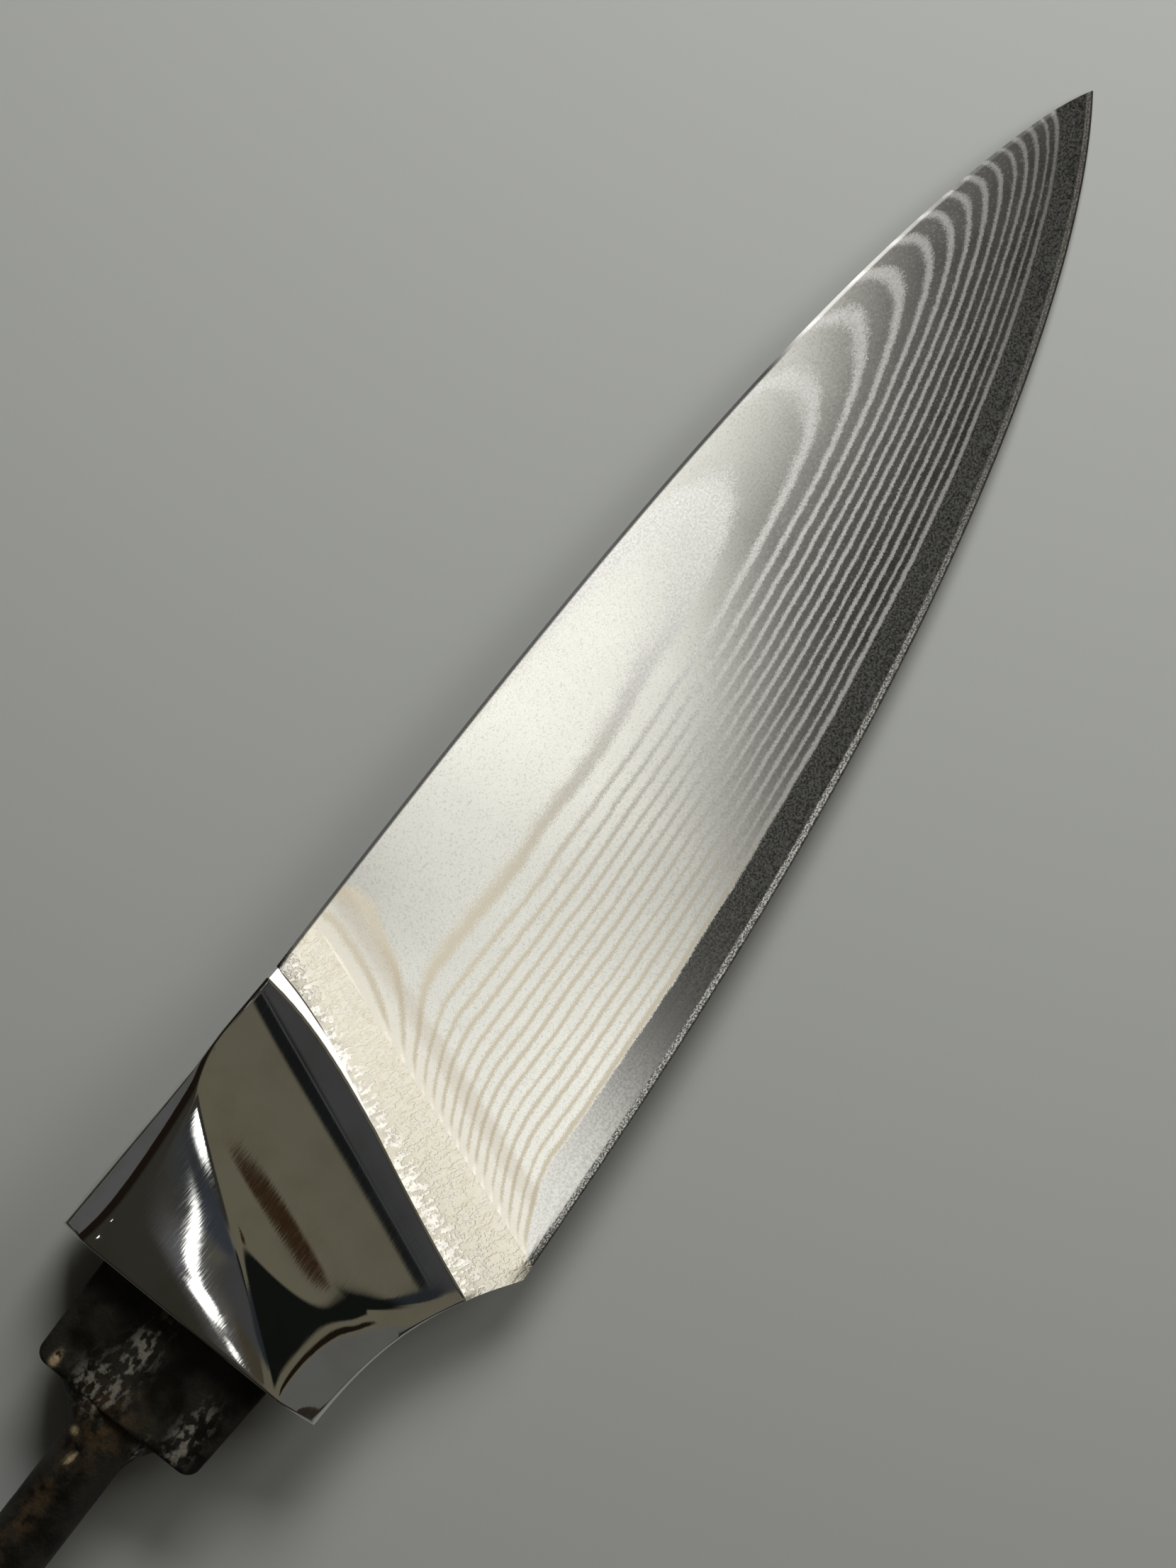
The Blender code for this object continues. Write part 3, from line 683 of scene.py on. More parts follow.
core_pale = attribute(tree, "core_pale")
core = mix(core_pale, CORE_DARK, CORE_PALE)
core = mix(between(speck, 0.45, 0.75, 0.0, 0.12), core, CORE_PALE)
pits = calc("MULTIPLY", between(pepper, 0.35, 0.62, 1.0, 0.0), blend(core_pale, 0.5, 0.2))
core = mix(pits, core, CORE_PIT)
inside = between(calc("ADD", count["Pair"], ragged), -0.06, 0.04, 1.0, 0.0)
colour = mix(inside, cladding, core)
rise = calc("MULTIPLY_ADD", ragged, 0.3, attribute(tree, "rise"))
grit = mix(between(grain(where, 9.0, 3.0), 0.42, 0.6), GRIT_DARK, GRIT_PALE)
grit = mix(between(along, 45.0, 80.0, 0.0, 0.75), grit, GRIT_TIP)
grit = mix(between(rise, 0.08, 0.18, 0.9, 0.0), grit, VERY_EDGE)
colour = mix(between(rise, 0.42, 0.55, 1.0, 0.0), colour, grit)
feed(inputs["Base Color"], colour)
print("core and land coloured")

# %% Gloss and relief of the steel
THICK_ROUGH, THIN_ROUGH = 0.42, 0.2
ETCH_DEPTH = 0.004

inputs["Metallic"].default_value = 1.0
shiny = calc("MULTIPLY", thin, calc("SUBTRACT", 1.0, inside))
feed(inputs["Roughness"], blend(shiny, THICK_ROUGH, THIN_ROUGH))


def add_bump(inputs, depth, height):
    """Relief with a depth in millimetres."""
    bump = add(tree_of(height), "ShaderNodeBump")
    bump.inputs["Strength"].default_value = 1.0
    bump.inputs["Distance"].default_value = depth * MM
    feed(bump.inputs["Height"], height)
    feed(inputs["Normal"], bump.outputs[0])


add_bump(inputs, ETCH_DEPTH, calc("MULTIPLY_ADD", speck, 1.2, thin))
print("layered steel mixed from", len(tree.nodes), "nodes")

# %% [markdown]
# Blade. The core plate is one piece and shows only at the ground edge. The cladding on each side is
# a second and a third piece, a wedge that starts where the core runs out. Modelling every sheet here
# would add half a hundred bodies thinner than paper, and the material shows them all. Slanted
# sections follow the seam at one end and close up in the tip at the other.

# %% Sections of the blade
SECTIONS = 240
CORE_ROWS = 6
CLADDING_ROWS = 64


def section(share):
    """Lower and upper end of a slanted section, from the seam at 0 to the tip at 1."""
    return (on_edge(LAYERS_LOW.x + (TIP_X - LAYERS_LOW.x) * share),
            on_spine(LAYERS_HIGH.x + (TIP_X - LAYERS_HIGH.x) * share))


def height_on(share, row):
    return half_thickness(*section(share)[0].lerp(section(share)[1], row))


def core_row(share):
    """Where on a section the surface leaves the core."""
    return solve(CORE_HALF, lambda row: height_on(share, row), 0.0, 1.0)


last_cladding = solve(-CORE_HALF, lambda share: -height_on(share, 1.0), 0.5, 1.0)
closer_to_tip = [math.sin(math.pi / 2 * k / SECTIONS) for k in range(SECTIONS + 1)]
core_columns, cladding_columns = [], []
for step in closer_to_tip:
    start, end = section(step)
    length = max((end - start).length, 1e-6)
    land = min(LAND / length, 0.25)
    top = core_row(step) if step < last_cladding else 1.0
    rows = [land * k / 4 for k in range(4)]
    rows += [land + (top - land) * k / CORE_ROWS for k in range(CORE_ROWS + 1)]
    rows += [top + (1 - top) * k / 4 for k in range(1, 5)]
    core_columns.append([tuple(start.lerp(end, row)) for row in rows])
    share = step * last_cladding
    start, end = section(share)
    low = core_row(share) if step < 1 else 1.0
    rows = [low + (1 - low) * k / CLADDING_ROWS for k in range(CLADDING_ROWS + 1)]
    cladding_columns.append([tuple(start.lerp(end, row)) for row in rows])
print("cladding ends", round(TIP_X - section(last_cladding)[1].x, 2), "mm behind the tip")

# %% Core and cladding


def core_height(x, y):
    return min(half_thickness(x, y), CORE_HALF)


def clad_height(x, y):
    return max(half_thickness(x, y), CORE_HALF)


cad_sheets = sorted(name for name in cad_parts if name.startswith("sheet_"))
blade_core = finish_piece(
    closed_sheet(core_columns, lambda x, y: -core_height(x, y), core_height),
    "blade_core", layered_steel, "core_steel", "core_plate")
cladding_front = finish_piece(
    closed_sheet(cladding_columns, lambda x, y: CORE_HALF, clad_height),
    "cladding_front", layered_steel, "dark_steel", *[n for n in cad_sheets if "_front_" in n])
cladding_back = finish_piece(
    closed_sheet(cladding_columns, lambda x, y: -clad_height(x, y), lambda x, y: -CORE_HALF),
    "cladding_back", layered_steel, "dark_steel", *[n for n in cad_sheets if "_back_" in n])

# %% [markdown]
# Painted light on the blade. The thick sheets carry a painted highlight, a lamp's sheen: pale near the
# bolster and the spine, and dark towards the edge and the tip. The thin sheets carry a painted
# reflection, brightest in the middle of the blade. A noise would put such areas anywhere, so they are
# read from short tables of stations along the blade and stored at its points as attributes, which the
# material then looks up.

# %% Where the highlight and the reflections are painted
PAINTED_SHEEN_STATIONS = (
    # distance from the rear face, start at the edge, rise up to the spine
    (20, 2.2, -1.6), (28, 2.1, -2.0), (36, 0.4, 0.9), (42, -1.0, 4.1), (50, -2.9, 6.3),
    (60, -4.8, 6.1), (70, -4.9, 5.5), (80, -4.4, 2.8), (95, -4.6, 1.5))
THIN_REFLECTION_STATIONS = (
    # distance from the rear face, brightness of the painted reflection near the spine
    (36, 0.42), (44, 0.52), (50, 0.60), (60, 0.62), (70, 0.50), (80, 0.32), (90, 0.17))
REFLECTION_AT_EDGE, REFLECTION_UP = 0.30, 0.74      # share of it at the edge, and its rise up to the spine
# The painted reflection in the thin sheets is yellower behind here, where the beige room shows in them.
REAR_END, REAR_SOFT = 40.0, 3.5         # the thin sheets are yellower behind here
CORE_PALE_END, CORE_PALE_SOFT = 27.5, 3.0


def station(table, x, column):
    """Value of a table at a place along the blade, on straight lines between its stations."""
    if x <= table[0][0]:
        return table[0][column]
    for near, far in zip(table, table[1:]):
        if x <= far[0]:
            share = (x - near[0]) / (far[0] - near[0])
            return near[column] + (far[column] - near[column]) * share
    return table[-1][column]


def up_share(x, y):
    return (y - edge_y(x)) / max(spine_y(x) - edge_y(x), 0.1)


def soft_switch(level):
    """From 0 far below zero to 1 far above."""
    return 1 / (1 + math.exp(-level))


# Share of the painted highlight on the thick sheets, from its table.
def painted_sheen_at(x, y):
    return soft_switch(station(PAINTED_SHEEN_STATIONS, x, 1) + station(PAINTED_SHEEN_STATIONS, x, 2) * up_share(x, y))


# Brightness of the painted reflection in the thin sheets, from its table.
def painted_thin_reflection_at(x, y):
    return station(THIN_REFLECTION_STATIONS, x, 1) * (REFLECTION_AT_EDGE + REFLECTION_UP * up_share(x, y))


for piece in (blade_core, cladding_front, cladding_back):
    paint(piece, "painted_sheen", painted_sheen_at)
    paint(piece, "painted_thin_reflection", painted_thin_reflection_at)
    paint(piece, "rear", lambda x, y: soft_switch((REAR_END - x) / REAR_SOFT))
    paint(piece, "core_pale", lambda x, y: soft_switch((CORE_PALE_END - x) / CORE_PALE_SOFT))
    paint(piece, "rise", lambda x, y: y - edge_y(x))
    paint(piece, "under_spine", lambda x, y: spine_y(x) - y)
    paint(piece, "along", lambda x, y: x)
    paint(piece, "ahead", ahead_of_seam)
    matt_pieces.objects.link(piece)
print("pale share at the heel", round(painted_sheen_at(20, -8), 2), "at the tip", round(painted_sheen_at(90, 4), 2))

# %% [markdown]
# Bolster. A block whose cheek falls away to the front and to one side of a crest that starts in the
# rear belly corner. Steep strips roll over to the spine and the belly, and a big wheel ground a
# hollow down to the foot. Booleans with a cylinder could cut it, but would leave hard ridges. A
# grinder leaves whichever surface is lowest, so the height is the minimum of them all, and a soft
# minimum rounds the ridges as polishing does. A bright chamfer ends the foot.

# %% Measures of the bolster
HALF_THICK = 4.7
CREST = Vector((-0.88, -6.14))
TO_FRONT = Vector((0.88, 0.47))
TO_SIDE = Vector((0.8, -0.6))
FRONT_FALL, FRONT_FROM, FRONT_ROUND, FRONT_TO, FRONT_END_ROUND = 0.163, 9.25, 2.2, 21.25, 1.5
SIDE_FALL, SIDE_FROM, SIDE_ROUND = 0.382, 1.38, 0.3
REAR_FALL, REAR_FROM = 124.0, 1.08      # the cheek's gentle curve behind the crest
HEEL_FALL, HEEL_FROM = 110.0, 3.2       # and towards the rear face
CHEEK_LOWEST = 2.25                     # the deepest fall of the cheek
HOLLOW_CLEAR, CLEAR_RISE = 5.6, 0.4     # this near the foot it rises out of the hollow's way
CLEAR_START, CLEAR_END, CLEAR_SOFT = 0.2, 0.86, 0.1     # where along the foot it does
SPINE_EDGE, SPINE_STEEP = 2.38, 0.95
BELLY_EDGE, BELLY_STEEP, BELLY_TURN = 2.1, 1.0, 7.5
BELLY_DROP, BELLY_LIFT, BELLY_EASE = 0.14, 0.16, 0.065
RIDGE_ROUND, CHEEK_ROUND, SPINE_ROUND, BELLY_ROUND = 0.05, 0.12, 0.15, 0.3
FOOT_HALF, FOOT_LIFT = 1.2, 0.3
HOLLOW_RADIUS = 17.4
RIM_RADIUS, RIM_ANGLE = 0.3, math.radians(50)
CHAMFER_SLOPE, CHAMFER_LOW, CHAMFER_GAIN = 0.85, 0.08, 0.85
FOOT_ALONG = (FOOT_HIGH - FOOT_LOW).normalized()
FOOT_LENGTH = (FOOT_HIGH - FOOT_LOW).length
print("foot is", round(FOOT_LENGTH, 1), "mm long")

# %% Helpers for ground surfaces


def soft_min(values, round_by):
    lowest = min(values)
    total = sum(math.exp((lowest - value) / round_by) for value in values)
    return lowest - round_by * math.log(total)


def soft_rise(value, width):
    """Zero below 0, the value itself above, with a round corner."""
    return (value + math.sqrt(value * value + width * width)) / 2


def smooth_step(value):
    value = min(max(value, 0.0), 1.0)
    return value * value * (3 - 2 * value)


def top_y(x):
    """Bolster's spine, a straight line from its rear corner to the foot."""
    return BOLSTER_HALF_HEIGHT + (FOOT_HIGH.y - BOLSTER_HALF_HEIGHT) * x / FOOT_SPINE_X


def behind_foot(x, y):
    """Distance behind the straight line of the foot."""
    return (y - FOOT_LOW.y) * FOOT_ALONG.x - (x - FOOT_LOW.x) * FOOT_ALONG.y


def up_foot(x, y):
    """Share of the way along the foot, from the belly to the spine."""
    share = ((x - FOOT_LOW.x) * FOOT_ALONG.x + (y - FOOT_LOW.y) * FOOT_ALONG.y) / FOOT_LENGTH
    return min(max(share, 0), 1)


def rim_drop(distance):
    """How much a polished edge has come down at a distance from it."""
    inset = max(RIM_RADIUS * math.sin(RIM_ANGLE) - distance, 0)
    return RIM_RADIUS - math.sqrt(RIM_RADIUS ** 2 - inset ** 2)


print("an edge comes down", round(rim_drop(0), 2), "mm")

# %% Cheek and hollow


def cheek(x, y):
    from_crest = Vector((x, y)) - CREST
    side, front = from_crest.dot(TO_SIDE), from_crest.dot(TO_FRONT)
    fall = FRONT_FALL * (soft_rise(front - FRONT_FROM, FRONT_ROUND)
                         - soft_rise(front - FRONT_TO, FRONT_END_ROUND))
    fall += SIDE_FALL * soft_rise(side - SIDE_FROM, SIDE_ROUND)
    fall += max(HEEL_FROM - x, 0) ** 2 / HEEL_FALL + min(side - REAR_FROM, 0) ** 2 / REAR_FALL
    share = up_foot(x, y)
    clear = smooth_step(share / CLEAR_START) * (1 - smooth_step((share - CLEAR_END) / CLEAR_SOFT))
    lift = CLEAR_RISE * max(HOLLOW_CLEAR * clear - behind_foot(x, y), 0)
    return HALF_THICK - soft_min([fall, CHEEK_LOWEST], CHEEK_ROUND) + lift


def hollow(x, y):
    reach = min(max(behind_foot(x, y), 0), HOLLOW_RADIUS * 0.95)
    wheel = HOLLOW_RADIUS - math.sqrt(HOLLOW_RADIUS ** 2 - reach ** 2)
    return FOOT_HALF + FOOT_LIFT * smooth_step(up_foot(x, y)) + wheel


def bolster_height(x, y):
    along_spine = SPINE_EDGE + SPINE_STEEP * (top_y(x) - y)
    before, after = min(x, BELLY_TURN), max(x - BELLY_TURN, 0)
    along_belly = BELLY_EDGE - BELLY_DROP * before + BELLY_LIFT * after
    along_belly += (BELLY_STEEP - BELLY_EASE * before) * (y - belly_y(x))
    ground = soft_min([cheek(x, y), hollow(x, y)], RIDGE_ROUND)
    ground = soft_min([ground, along_spine], SPINE_ROUND)
    return min(soft_min([ground, along_belly], BELLY_ROUND), HALF_THICK)


def bolster_rim_height(x, y):
    """The same with its polished edges and the chamfer at the foot."""
    reach = max(min(top_y(x) - y, y - belly_y(x), x), 0)
    share = up_foot(x, y)
    from_foot = max(behind_foot(x, y) + foot_swing(share) * FOOT_ALONG.y, 0)
    width = CHAMFER_LOW + CHAMFER_GAIN * max((share - 0.45) / 0.55, 0) ** 1.3
    chamfer = CHAMFER_SLOPE * soft_rise(width - from_foot, 0.04)
    return bolster_height(x, y) - rim_drop(reach) - chamfer


print("ridge height", round(bolster_height(6.5, 1.3), 2), "rear corner", round(cheek(0, 8), 2))

# %% [markdown]
# Polished steel: nearly a mirror, and the real one was buffed by hand. A perfectly smooth metal would
# look like glass, so fine polishing lines vary the roughness, and together with a faint swell they
# make a relief of less than a thousandth of a millimetre. More than that would blur the bright streaks.

# %% Polished steel
BRIGHT_STEEL, STAINED_STEEL = (0.80, 0.80, 0.80), (0.72, 0.71, 0.68)
POLISH_DEPTH = 0.0006

polished_steel, tree, inputs = start_material("polished_steel")
where = add(tree, "ShaderNodeTexCoord").outputs["Object"]
lines = grain(where, 3.0, 3.0, (0.25, 3.0, 0.25))
inputs["Metallic"].default_value = 1.0
stain = between(grain(where, 0.35, 3.0), 0.4, 0.75)
feed(inputs["Base Color"], mix(stain, BRIGHT_STEEL, STAINED_STEEL))
feed(inputs["Roughness"], between(lines, 0.3, 0.75, 0.02, 0.06))
swell = grain(where, 0.45, 1.0)
add_bump(inputs, POLISH_DEPTH, calc("MULTIPLY_ADD", swell, 2.0, lines))
print("polished steel mixed from", len(tree.nodes), "nodes")

# %% [markdown]
# A mirror shows every flat face of a coarse mesh, so the bolster gets a fine grid. Its columns run
# from the straight rear face to the curved foot, and its outer steps are a few hundredths of a
# millimetre wide, so that the broken edges and the chamfer are round in a close view.

# %% Bolster
RIM_STEPS = (0.0, 0.05, 0.1, 0.16, 0.23)
FOOT_STEPS = tuple(1.0 - 0.05 * k for k in range(21))
BOLSTER_COLUMNS, BOLSTER_ROWS = 120, 150
GRID_LENGTH, GRID_HEIGHT = 16.0, 20.0   # the bolster's middle length and height


def steps_with_rim(length, count, end_steps):
    """Shares of a length: fine steps over the polished edges, and even ones between them."""
    start = [step / length for step in RIM_STEPS]
    end = [1 - step / length for step in end_steps]
    middle = [start[-1] + (end[0] - start[-1]) * k / count for k in range(1, count)]
    return start + middle + end


bolster_columns = []
for forward in steps_with_rim(GRID_LENGTH, BOLSTER_COLUMNS, FOOT_STEPS):
    column = []
    for share in steps_with_rim(GRID_HEIGHT, BOLSTER_ROWS, RIM_STEPS[::-1]):
        foot = foot_point(share)
        height = (foot.y - belly_y(foot.x)) / (top_y(foot.x) - belly_y(foot.x))
        x = forward * foot.x
        row = share + (height - share) * forward
        column.append((x, belly_y(x) + (top_y(x) - belly_y(x)) * row))
    bolster_columns.append(column)
finish_piece(
    closed_sheet(bolster_columns, lambda x, y: -bolster_rim_height(x, y), bolster_rim_height),
    "bolster_polished", polished_steel, "polished_steel", "bolster")

# %% [markdown]
# Weld seam. Between the bolster's foot and the ends of the layers lies cast weld metal. Next to the
# foot its crystals grew in feathery rows, further on it is mottled and matt. Noise on plain Object
# coordinates has no direction, so the piece carries how far each point lies from the foot and along
# it, and the crystals are drawn out in those directions.

# %% Weld metal
MOTTLE_DARK, MOTTLE_PALE, MOTTLE_SPECK = (0.64, 0.60, 0.49), (0.80, 0.76, 0.66), (0.58, 0.53, 0.42)
CRYSTAL_DARK, CRYSTAL_PALE = (0.62, 0.58, 0.48), (0.88, 0.85, 0.77)
WELD_DEPTH = 0.01

weld_metal, tree, inputs = start_material("weld_metal")
where = add(tree, "ShaderNodeTexCoord").outputs["Object"]
from_foot = attribute(tree, "from_foot")
along_foot = attribute(tree, "along_foot")
seam_place = add(tree, "ShaderNodeCombineXYZ")
feed(seam_place.inputs[0], calc("MULTIPLY", from_foot, 0.35 * MM))
feed(seam_place.inputs[1], calc("MULTIPLY", along_foot, MM))
rows = grain(seam_place.outputs[0], 2.6, 3.0)
barbs = grain(where, 5.0, 3.0)
crystal_zone = between(calc("MULTIPLY_ADD", rows, 0.8, from_foot), 1.3, 2.3, 1.0, 0.0)
feather = between(calc("MULTIPLY_ADD", barbs, 0.6, rows), 0.72, 0.88)
mottle = between(grain(where, 1.6, 3.0), 0.35, 0.7)
plain = mix(mottle, MOTTLE_DARK, MOTTLE_PALE)
speckled = between(grain(where, 14.0, 3.0), 0.5, 0.75, 0.0, 0.25)
plain = mix(speckled, plain, MOTTLE_SPECK)
crystal = mix(feather, CRYSTAL_DARK, CRYSTAL_PALE)
colour = mix(crystal_zone, plain, crystal)
# Painted shade along the spine, as on the blade.
spine_shade_share = use_group(spine_shade_group, Under=attribute(tree, "under_spine"))["Share"]
feed(inputs["Base Color"], mix(spine_shade_share, colour, SPINE_PAINTED_SHADE))
inputs["Metallic"].default_value = 1.0
feed(inputs["Roughness"], between(mottle, 0.0, 1.0, 0.3, 0.42))
add_bump(inputs, WELD_DEPTH, calc("ADD", feather, barbs))
print("weld metal mixed from", len(tree.nodes), "nodes")

# %% [markdown]
# The seam has to meet the bolster at one end and the blade at the other. Each of its rows starts at
# the foot's own height and eases down to the blade's, so no step opens between the three pieces.

# %% Weld seam
SEAM_STEPS, SEAM_ROWS = 16, 90


def seam_point(part, share):
    """Point from the foot at 0 to the layers at 1, and from the belly at 0 to the spine at 1."""
    layers = LAYERS_LOW.lerp(LAYERS_HIGH, share)
    point = foot_point(share).lerp(layers, part)
    if share == 0:
        point.x = FOOT_BELLY_X + (SEAM_EDGE_X - FOOT_BELLY_X) * part
        point.y = belly_y(point.x) if point.x < HEEL_X else edge_y(point.x)
    elif share == 1:
        point.y = spine_y(point.x)
    return point


seam_columns, seam_heights = [], {}
for step in range(SEAM_STEPS + 1):
    part = step / SEAM_STEPS
    column = []
    for row in range(SEAM_ROWS + 1):
        share = row / SEAM_ROWS
        point = seam_point(part, share)
        blade = half_thickness(point.x, point.y)
        foot = foot_point(share)
        start = bolster_rim_height(foot.x, foot.y - 0.001)
        spot = (round(point.x, 4), round(point.y, 4))
        seam_heights[spot] = blade + (start - blade) * (1 - part) ** 2
        column.append(spot)
    seam_columns.append(column)


def seam_height(x, y):
    return seam_heights[(round(x, 4), round(y, 4))]


weld_seam = finish_piece(
    closed_sheet(seam_columns, lambda x, y: -seam_height(x, y), seam_height),
    "weld_seam_metal", weld_metal, "seam_steel", "weld_seam")
matt_pieces.objects.link(weld_seam)
paint(weld_seam, "from_foot", lambda x, y: -behind_foot(x, y))
paint(weld_seam, "under_spine", lambda x, y: spine_y(x) - y)
paint(weld_seam, "along_foot", lambda x, y: (Vector((x, y)) - FOOT_LOW).dot(FOOT_ALONG))

# %% [markdown]
# Tang: a flat block with square shoulders, a forged hump that runs out on its faces, a lumpy bead
# of weld where it necks down, and a round rod. All of it is black with forge scale, a crust that
# hardly shines. Where it was rubbed or ground, bare metal shows, and a few highlights are painted on.
# One material goes from scale to metal by masks, read from attributes that say where the rubbing and
# the painted highlights are.

# %% Forge scale
SCALE_DARK, SCALE_PALE = (0.004, 0.0036, 0.003), (0.017, 0.016, 0.013)
# The bare metal also stands for painted highlights on the scale, and the glint colour is a painted
# highlight.
RUST_BROWN, BARE_METAL_AND_HIGHLIGHT, GLINT_PAINTED_HIGHLIGHT = (0.050, 0.033, 0.017), (0.36, 0.335, 0.28), (0.80, 0.62, 0.36)
SCALE_DEPTH = 0.2

forge_scale, tree, inputs = start_material("forge_scale")
where = add(tree, "ShaderNodeTexCoord").outputs["Object"]
patches = grain(where, 0.45, 3.0)
rust = grain(where, 1.4, 4.0)
pits = grain(where, 5.0, 4.0)
wear_and_glint_noise = grain(where, 2.2, 6.0, (0.6, 1, 1))
colour = mix(between(patches, 0.35, 0.65), SCALE_DARK, SCALE_PALE)
brown = calc("MULTIPLY", attribute(tree, "brown"), between(rust, 0.35, 0.65))
colour = mix(brown, colour, RUST_BROWN)
# Pale patches: bare rubbed metal in part, painted highlight in part.
wear_and_highlight = calc("MULTIPLY", attribute(tree, "wear_and_highlight"), between(wear_and_glint_noise, 0.47, 0.64))
colour = mix(wear_and_highlight, colour, BARE_METAL_AND_HIGHLIGHT)
# Painted highlights: small golden glints on corners.
painted_glint = calc("MULTIPLY", attribute(tree, "painted_glint"), between(wear_and_glint_noise, 0.36, 0.5))
colour = mix(painted_glint, colour, GLINT_PAINTED_HIGHLIGHT)
feed(inputs["Base Color"], colour)
wear_and_highlight_mask = calc("MAXIMUM", wear_and_highlight, painted_glint)
feed(inputs["Metallic"], blend(wear_and_highlight_mask, 0.2, 0.8))
feed(inputs["Roughness"], blend(wear_and_highlight_mask, 0.6, 0.38))
inputs["Specular IOR Level"].default_value = 0.35
add_bump(inputs, SCALE_DEPTH, calc("MULTIPLY_ADD", pits, 0.4, patches))
print("forge scale mixed from", len(tree.nodes), "nodes")

# %% Tang block
BLOCK_LENGTH, BLOCK_HALF_HEIGHT, BLOCK_HALF_THICK = 7.5, 6.5, 2.3
BLOCK_TAPER, BLOCK_CORNER, BLOCK_SEAT = 0.3, 0.9, 3.0
HUMP_RADIUS, HUMP_LENGTH, HUMP_WANDER, HUMP_SUNK, HUMP_ROUND = 2.9, 6.0, 0.25, 0.04, 0.12
FORGED = 0.05               # depth of the hammered lumps
ROD_DIAMETER, ROD_LENGTH, ROD_Y, ROD_LEAN = 4.33, 81.6, -0.31, math.radians(1.5)
BLOCK_COLUMNS, BLOCK_ROWS = 70, 90


def lumps(x, y, z, size, depth):
    """Noise from -1 to 1 times a depth, with waves of a size in millimetres."""
    return depth * noise.fractal(Vector((x, y, z)) / size, 1.0, 2.0, 4)


def block_half(x):
    """Half height of the block, with drawn-in sides and round shoulders."""
    back = max(-x, 0) / BLOCK_LENGTH
    half = BLOCK_HALF_HEIGHT - BLOCK_TAPER * back
    into = BLOCK_CORNER - (x + BLOCK_LENGTH)
    if into > 0:
        half -= BLOCK_CORNER - math.sqrt(max(BLOCK_CORNER ** 2 - into ** 2, 0))
    return half


def block_height(x, y):
    flat = BLOCK_HALF_THICK - FORGED + lumps(x, y, 3.0, 2.5, FORGED)
    share = (x + BLOCK_LENGTH) / HUMP_LENGTH
    radius = HUMP_RADIUS + (BLOCK_HALF_THICK * 0.9 - HUMP_RADIUS) * max(share, 0)
    off = (y - ROD_Y + lumps(x, y, 9.0, 4.0, HUMP_WANDER)) / radius
    hump = radius * math.sqrt(max(1 - off * off, 0)) - HUMP_SUNK
    both = soft_min([-flat, -hump], HUMP_ROUND)
    edge = max(min(block_half(x) - abs(y), x + BLOCK_LENGTH), 0)
    return min(-both, HUMP_RADIUS) - rim_drop(edge * 0.6) * 1.6


block_columns = []
closer_to_sides = [-math.cos(math.pi * k / BLOCK_ROWS) for k in range(BLOCK_ROWS + 1)]
rows = [0.35 * row + 0.65 * math.asin(row) * 2 / math.pi for row in closer_to_sides]
for k in range(BLOCK_COLUMNS + 1):
    x = -BLOCK_LENGTH + (BLOCK_LENGTH + BLOCK_SEAT) * (k / BLOCK_COLUMNS) ** 1.3
    block_columns.append([(x, block_half(x) * row) for row in rows])
tang_block = finish_piece(
    closed_sheet(block_columns, lambda x, y: -block_height(x, y), block_height),
    "tang_block_scaled", forge_scale, "scaled_steel", "tang_block", sharp=60)

# %% [markdown]
# Bead and rod are rows of rings that are bridged to each other, with each ring a little out of
# round, because a cylinder would be too true for forged steel.

# %% Bead and rod
BEAD_LENGTH, BEAD_HALF_HEIGHT, BEAD_Y, BEAD_HALF_THICK, BEAD_HOLLOW = 2.9, 4.3, 0.55, 2.25, 2.2
BEAD_RINGS, ROD_RINGS, RING_SIDES = 18, 120, 56
BEAD_ROUGH, ROD_ROUGH = 0.05, 0.02
END_INSET = 0.5             # ring on the rod's flat end


def ringed(rings):
    """Skin over rings. Each ring gives its centre, half height and half thickness."""
    bm = bmesh.new()
    loops = []
    for x, y, half_height, half_thick, rough in rings:
        ring = bmesh.ops.create_circle(bm, segments=RING_SIDES, radius=1.0)["verts"]
        for vert in ring:
            up, out = vert.co.x, vert.co.y
            swell = 1 - abs(lumps(x, up * 3, out * 3, 2.2, rough))
            vert.co = (x, y + up * half_height * swell, out * half_thick * swell)
        ring = set(ring)
        loops.append([e for e in bm.edges if e.verts[0] in ring])
    for near, far in zip(loops, loops[1:]):
        bmesh.ops.bridge_loops(bm, edges=near + far)
    bmesh.ops.contextual_create(bm, geom=loops[0])
    bmesh.ops.contextual_create(bm, geom=loops[-1])
    return bm


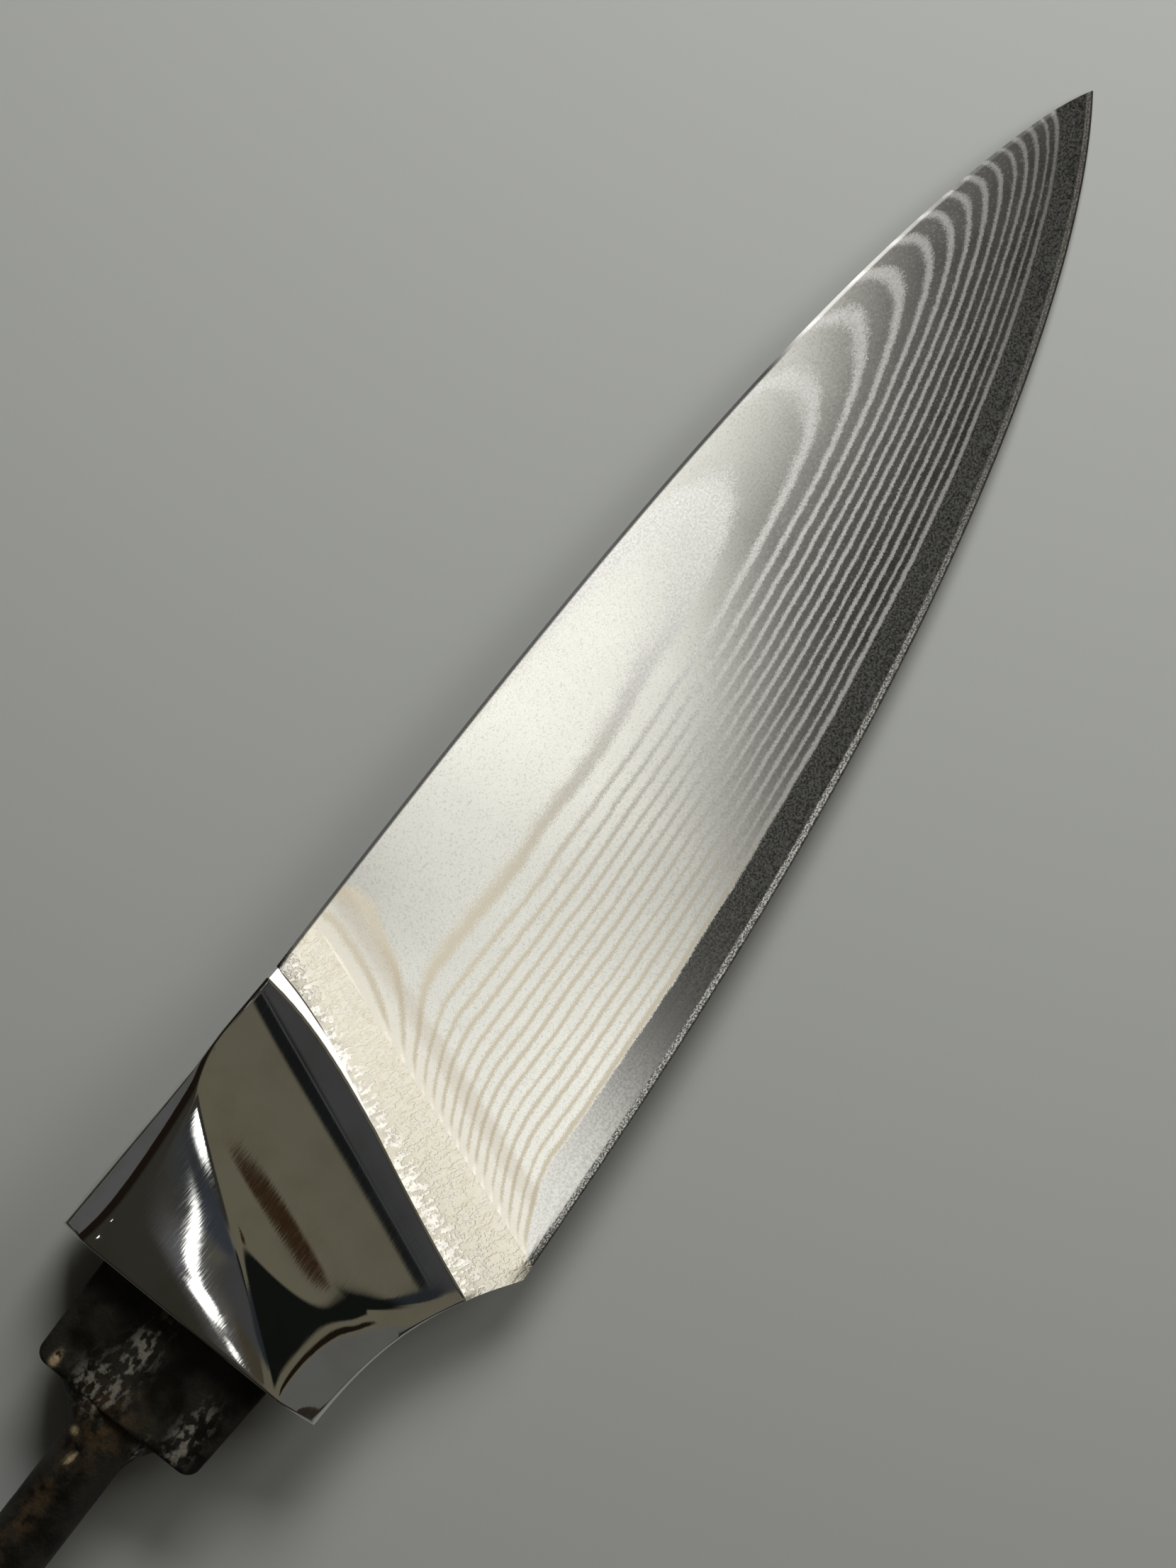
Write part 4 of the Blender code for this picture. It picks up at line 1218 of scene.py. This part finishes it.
radius = ROD_DIAMETER / 2
rings = []
for k in range(BEAD_RINGS + 1):
    share = k / BEAD_RINGS
    wide = (1 - share) ** BEAD_HOLLOW
    rings.append((-BLOCK_LENGTH - BEAD_LENGTH * share, ROD_Y + (BEAD_Y - ROD_Y) * wide,
                  radius + (BEAD_HALF_HEIGHT - radius) * wide,
                  radius + (BEAD_HALF_THICK - radius) * wide, BEAD_ROUGH))
weld_bead = finish_piece(ringed(rings), "tang_bead_lumpy", forge_scale, "scaled_steel",
                         "tang_weld_bead", sharp=60)
rings = []
for k in range(ROD_RINGS + 1):
    share = k / ROD_RINGS
    x = -BLOCK_LENGTH - BEAD_LENGTH - ROD_LENGTH * share
    y = ROD_Y - ROD_LENGTH * share * math.tan(ROD_LEAN)
    rings.append((x, y, radius, radius, ROD_ROUGH))
rings.append((x, y, radius - END_INSET, radius - END_INSET, 0.0))
tang_rod = finish_piece(ringed(rings), "tang_rod_scaled", forge_scale, "scaled_steel", "tang_rod",
                        sharp=60)

# %% [markdown]
# Handling and grinding rubbed the scale in a few places: pale patches on the block's face, part bare
# metal and part painted highlight, and browner metal on the bead and the rod. The small golden glints
# on corners are painted highlights. They are soft ovals, each with a centre and two half sizes, and the
# material's noise breaks up their outlines.

# %% Where the scale is rubbed, and where highlights are painted
# Pale patches, part bare metal and part painted highlight.
WEAR_AND_HIGHLIGHT_SPOTS = (
    (-3.0, 1.1, 2.2, 0.8), (-6.6, 1.8, 1.4, 1.3), (-5.6, -4.4, 1.9, 0.7), (-8.4, -2.6, 0.9, 0.3))
BROWN = ((-8.2, 0.0, 2.4, 2.2), (-15.4, 0.4, 4.0, 0.8))
# Painted highlights: centres and half sizes of the glints.
PAINTED_GLINTS = ((-6.9, 5.0, 0.5, 0.2), (-11.2, 0.4, 0.2, 0.15), (-9.6, 1.3, 0.2, 0.2))


def spots(table, x, y):
    """Sum of soft oval spots, each with its centre and half sizes."""
    return min(sum(math.exp(-((x - a) / long) ** 2 - ((y - b) / wide) ** 2)
                   for a, b, long, wide in table), 1.0)


for piece in (tang_block, weld_bead, tang_rod):
    paint(piece, "wear_and_highlight", lambda x, y: spots(WEAR_AND_HIGHLIGHT_SPOTS, x, y))
    paint(piece, "brown", lambda x, y: spots(BROWN, x, y))
    paint(piece, "painted_glint", lambda x, y: spots(PAINTED_GLINTS, x, y))
print("rubbed spots painted")

# %% [markdown]
# Last, the box of the finished knife is printed in millimetres.

# %% Sizes
low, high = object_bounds()
print("visual box in mm", [round(side * 1000, 2) for side in high - low])
